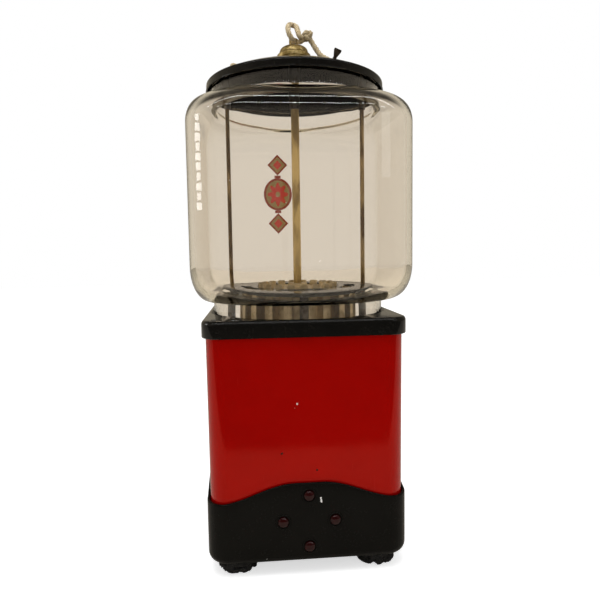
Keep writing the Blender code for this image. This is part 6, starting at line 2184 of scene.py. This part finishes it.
@dataclass
class CoinFront(SubAssembly):
    """The plated coin front with its dial, framed slot and screws, the turning handle and the flap."""

    half: float = 27.0
    low: float = 73.0
    high: float = 173.0
    corner: float = 9.0
    back_y: float = -72.4
    thickness: float = 3.0
    edge: float = 0.9
    dial: Triple = (17.5, 20.5, 1.4)
    openings: FrontOpenings = FrontOpenings()
    slot_frame: Pair = (2.2, 1.2)
    border: Triple = (2.4, 1.1, 0.6)
    rays: int = 24
    screw: Four = (1.6, 3.2, 1.6, 7.0)
    pin: Four = (1.1, -78.0, 101.8, 0.6)
    ear: Pair = (3.4, 3.0)
    knuckle: float = 2.3
    flap_sheet: float = 1.2
    flap_half: float = 15.0
    flap_drop: float = 26.0
    flap_lip: float = 1.5
    handle_y: Pair = (-77.4, -92.4)
    boss: Pair = (10.5, 7.6)
    wing: Four = (22.0, 4.2, 6.6, 8.0)
    shaft_end: float = -88.6

    @property
    def face_y(self) -> float:
        """The plate's front face."""
        return self.back_y - self.thickness

    def plate(self) -> None:
        """Build and dress the plate with its openings."""
        outline = rounded_rectangle(self.half, (self.high - self.low) / 2, self.corner)
        slab = Shape.cushioned(outline, 0.0, self.thickness, self.edge).facing_front()
        plate = self.shop.mesh("coin_front_plate", slab.shifted(y=self.back_y, z=(self.low + self.high) / 2))
        reach = (-2, self.thickness + 2)
        self.shop.cut(plate, self.openings.cutters(self.back_y, reach, self.screw[0] + CLEAR, (48, 24)))
        self.shop.bevel(plate, 0.25)
        self.shop.dress(plate, PLATING, "coin_front")

    def trim(self) -> None:
        """Build the raised work on the plate: border, dial, rays, slot frame and the flap's ears."""
        middle, base, shaft_z = (self.low + self.high) / 2, -0.5, self.openings.shaft[1]
        inset, wide, tall = self.border
        lines = [
            rounded_rectangle(self.half - x, (self.high - self.low) / 2 - x, self.corner - x)
            for x in (inset, inset + wide)
        ]
        shapes = [self.band(*lines, base, tall).shifted(z=middle)]
        inner, outer, high = self.dial
        dial = Shape.tube((inner, outer), (base, high), (0.0, 0.0, 0.6, 0.6), 96)
        shapes.append(dial.facing_front().shifted(z=shaft_z))
        ray = filleted([(11.4, -0.32, 0.3), (16.9, -0.7, 0.4), (16.9, 0.7, 0.4), (11.4, 0.32, 0.3)], 3)
        for i in range(self.rays):
            spoke = Shape.extruded(ray, base, 0.5).put(Matrix.Rotation(FULL_TURN * i / self.rays, 4, "Z"))
            shapes.append(spoke.facing_front().shifted(z=shaft_z))
        long_way, wide, slot_z = self.openings.slot
        frame_wide, frame_tall = self.slot_frame
        shapes.append(self.band(
            rounded_rectangle(long_way / 2 + frame_wide, wide / 2 + frame_wide, frame_wide),
            rounded_rectangle(long_way / 2, wide / 2, wide / 2 - CLEAR), base, frame_tall,
        ).shifted(z=slot_z))
        _, pin_y, pin_z, _ = self.pin
        ear_wide, ear_half = self.ear
        reach = self.face_y - (pin_y - self.knuckle)
        ear = filleted([
            (base, -ear_half, 0), (reach, -ear_half, 1.2), (reach, ear_half, 1.8), (base, ear_half, 0),
        ])
        for side in (-1, 1):
            near = side * (self.flap_half + CLEAR)
            far = side * (self.flap_half + CLEAR + ear_wide)
            loops = [[Vector((x, -out, z + pin_z)) for out, z in ear] for x in (near, far)]
            shapes.append(Shape.lofted(loops))
        trim = Shape.joined(shapes).shifted(y=self.face_y)
        self.shop.piece("coin_front_trim", trim, PLATING, bevel=0.2)

    def band(self, outer: Outline, inner: Outline, low: float, high: float) -> Shape:
        """A raised band between two outlines, made to stand on the plate."""
        edges = ((outer, low), (outer, high), (inner, high), (inner, low))
        loops = [[Vector((*at, z)) for at in line] for line, z in edges]
        return Shape.lofted(loops, ring=True).facing_front()

    def screws(self) -> None:
        """Build and dress four slotted round-headed screws."""
        shank, head, rise, length = self.screw
        blank = Shape.domed((shank, length), (head, rise, 0.0), 8, 36)
        x, top, low = self.openings.screws
        slot_bar = Shape.extruded(rounded_rectangle(5, 0.4, 0.1, 2), rise * 0.6, 4)
        names = (
            ("top_left", -x, top, 20), ("top_right", x, top, -35),
            ("bottom_left", -x, low, 75), ("bottom_right", x, low, 5),
        )
        for name, across, z, lean in names:
            place = Matrix.Translation((across, self.face_y, z)) @ Matrix.Rotation(pi / 2, 4, "X")
            screw = self.shop.mesh(f"slotted_screw_{name}", blank.put(place))
            self.shop.cut(screw, [slot_bar.put(place @ Matrix.Rotation(radians(lean), 4, "Z"))])
            self.shop.dress(screw, STEEL, f"front_screw_{name}")

    def wing_outline(self) -> Outline:
        """Outline of the handle's two wings: narrow at the boss and full at the tips.

        Returns:
            The closed outline, about the shaft.
        """
        span, waist, tip, _ = self.wing
        half: Outline = []
        for i in range(17):
            x, y = polar(tip, -pi / 2 + pi * i / 16)
            half.append((span - tip + x, y))
        flank = [((span - tip) * share, waist + (tip - waist) * share ** 1.6) for share in (0.75, 0.5, 0.25)]
        half += [*flank, (0.0, waist), *[(-x, y) for x, y in reversed(flank)]]
        return half + [(-x, -y) for x, y in half]

    def handle(self) -> None:
        """Build the winged turning handle as one casting with soft fillets."""
        back, front = -self.handle_y[0], -self.handle_y[1]
        boss, nose = self.boss
        depth = self.wing[3]
        hub = Shape.turned(filleted([
            (0.0, back, 0), (boss, back, 0.6), (boss, back + depth / 2, 1.6),
            (nose + 0.2, front - 3.4, 2.0), (nose, front, 1.8), (0.0, front, 0),
        ]), 64)
        wings = Shape.cushioned(self.wing_outline(), back + 0.4, back + depth, 1.6, 5)
        radius, z = self.openings.shaft
        handle = self.shop.mesh("winged_handle", hub.facing_front().shifted(z=z))
        self.shop.cut(handle, [wings.facing_front().shifted(z=z)], kind="UNION")
        remesh = handle.modifiers.new("casting", "REMESH")
        remesh.mode, remesh.voxel_size, remesh.use_smooth_shade = "VOXEL", 0.32 * MM, True
        soften = handle.modifiers.new("fillets", "SMOOTH")
        soften.factor, soften.iterations = 0.6, 8
        self.shop.settle(handle)
        bore = Shape.extruded(round_outline(radius, 40), back - 2, -self.shaft_end)
        self.shop.cut(handle, [bore.facing_front().shifted(z=z)], 50)
        self.shop.dress(handle, PLATING, "turn_handle", Body.HANDLE)

    def flap(self) -> None:
        """Build the rolled flap that hangs from the pin, and the pin."""
        radius, pin_y, pin_z, head = self.pin
        half_sheet, lip = self.flap_sheet / 2, self.flap_lip
        outline = [polar(self.knuckle, radians(-75 + 330 * i / 24)) for i in range(25)]
        lip_y, lip_z = half_sheet - lip, -self.flap_drop
        outline.append((-half_sheet, lip_z + lip * 0.7))
        for i in range(21):
            y, z = polar(lip, radians(110 + 290 * i / 20))
            outline.append((lip_y + y, lip_z + z))
        outline.append((half_sheet, lip_z + lip))
        loops = [[Vector((x, y, z)) for y, z in outline] for x in (-self.flap_half, self.flap_half)]
        flap = Shape.lofted(loops).shifted(y=pin_y, z=pin_z)
        self.shop.piece("rolled_flap", flap, PLATING, "chute_flap", Body.FLAP, bevel=0.2)
        reach = self.flap_half + CLEAR + self.ear[0] + CLEAR
        pin = Shape.turned(filleted([
            (0, -reach - head, 0), (radius + head, -reach - head, 0.4), (radius + head, -reach, 0.2),
            (radius, -reach, 0), (radius, reach + head, 0.4), (0, reach + head, 0),
        ]), 28).across().shifted(y=pin_y, z=pin_z)
        self.shop.piece("flap_hinge_pin", pin, STEEL, "flap_pin")

    def build(self) -> None:
        """Build and dress the whole front."""
        self.plate()
        self.trim()
        self.screws()
        self.handle()
        self.flap()


# All together


def main() -> None:
    """Build the machine's pieces in order, then light them."""
    logging.basicConfig(level=logging.INFO, format="%(name)s: %(message)s")
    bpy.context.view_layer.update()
    studio, shop = Studio(), Workshop()
    studio.place_camera()
    lid = LidTop(shop)
    rest = [kind(shop) for kind in (Globe, Rods, Hopper, PocketWheel, TopPlate, BodyShell, Base, CoinFront)]
    for assembly in (StringTie(shop, lid), lid, *rest):
        assembly.build()
        log.info("%s is done", type(assembly).__name__)
    shop.carry_over(CAST_ALLOY, "drive_gear", "idler_gear", "coin_wheel", "chute")
    shop.carry_over(STEEL, "idler_axle", "gear_bracket", "handle_shaft")
    studio.light()
    log.info("%d pieces made", len(shop.made))


if __name__ == "__main__":
    main()
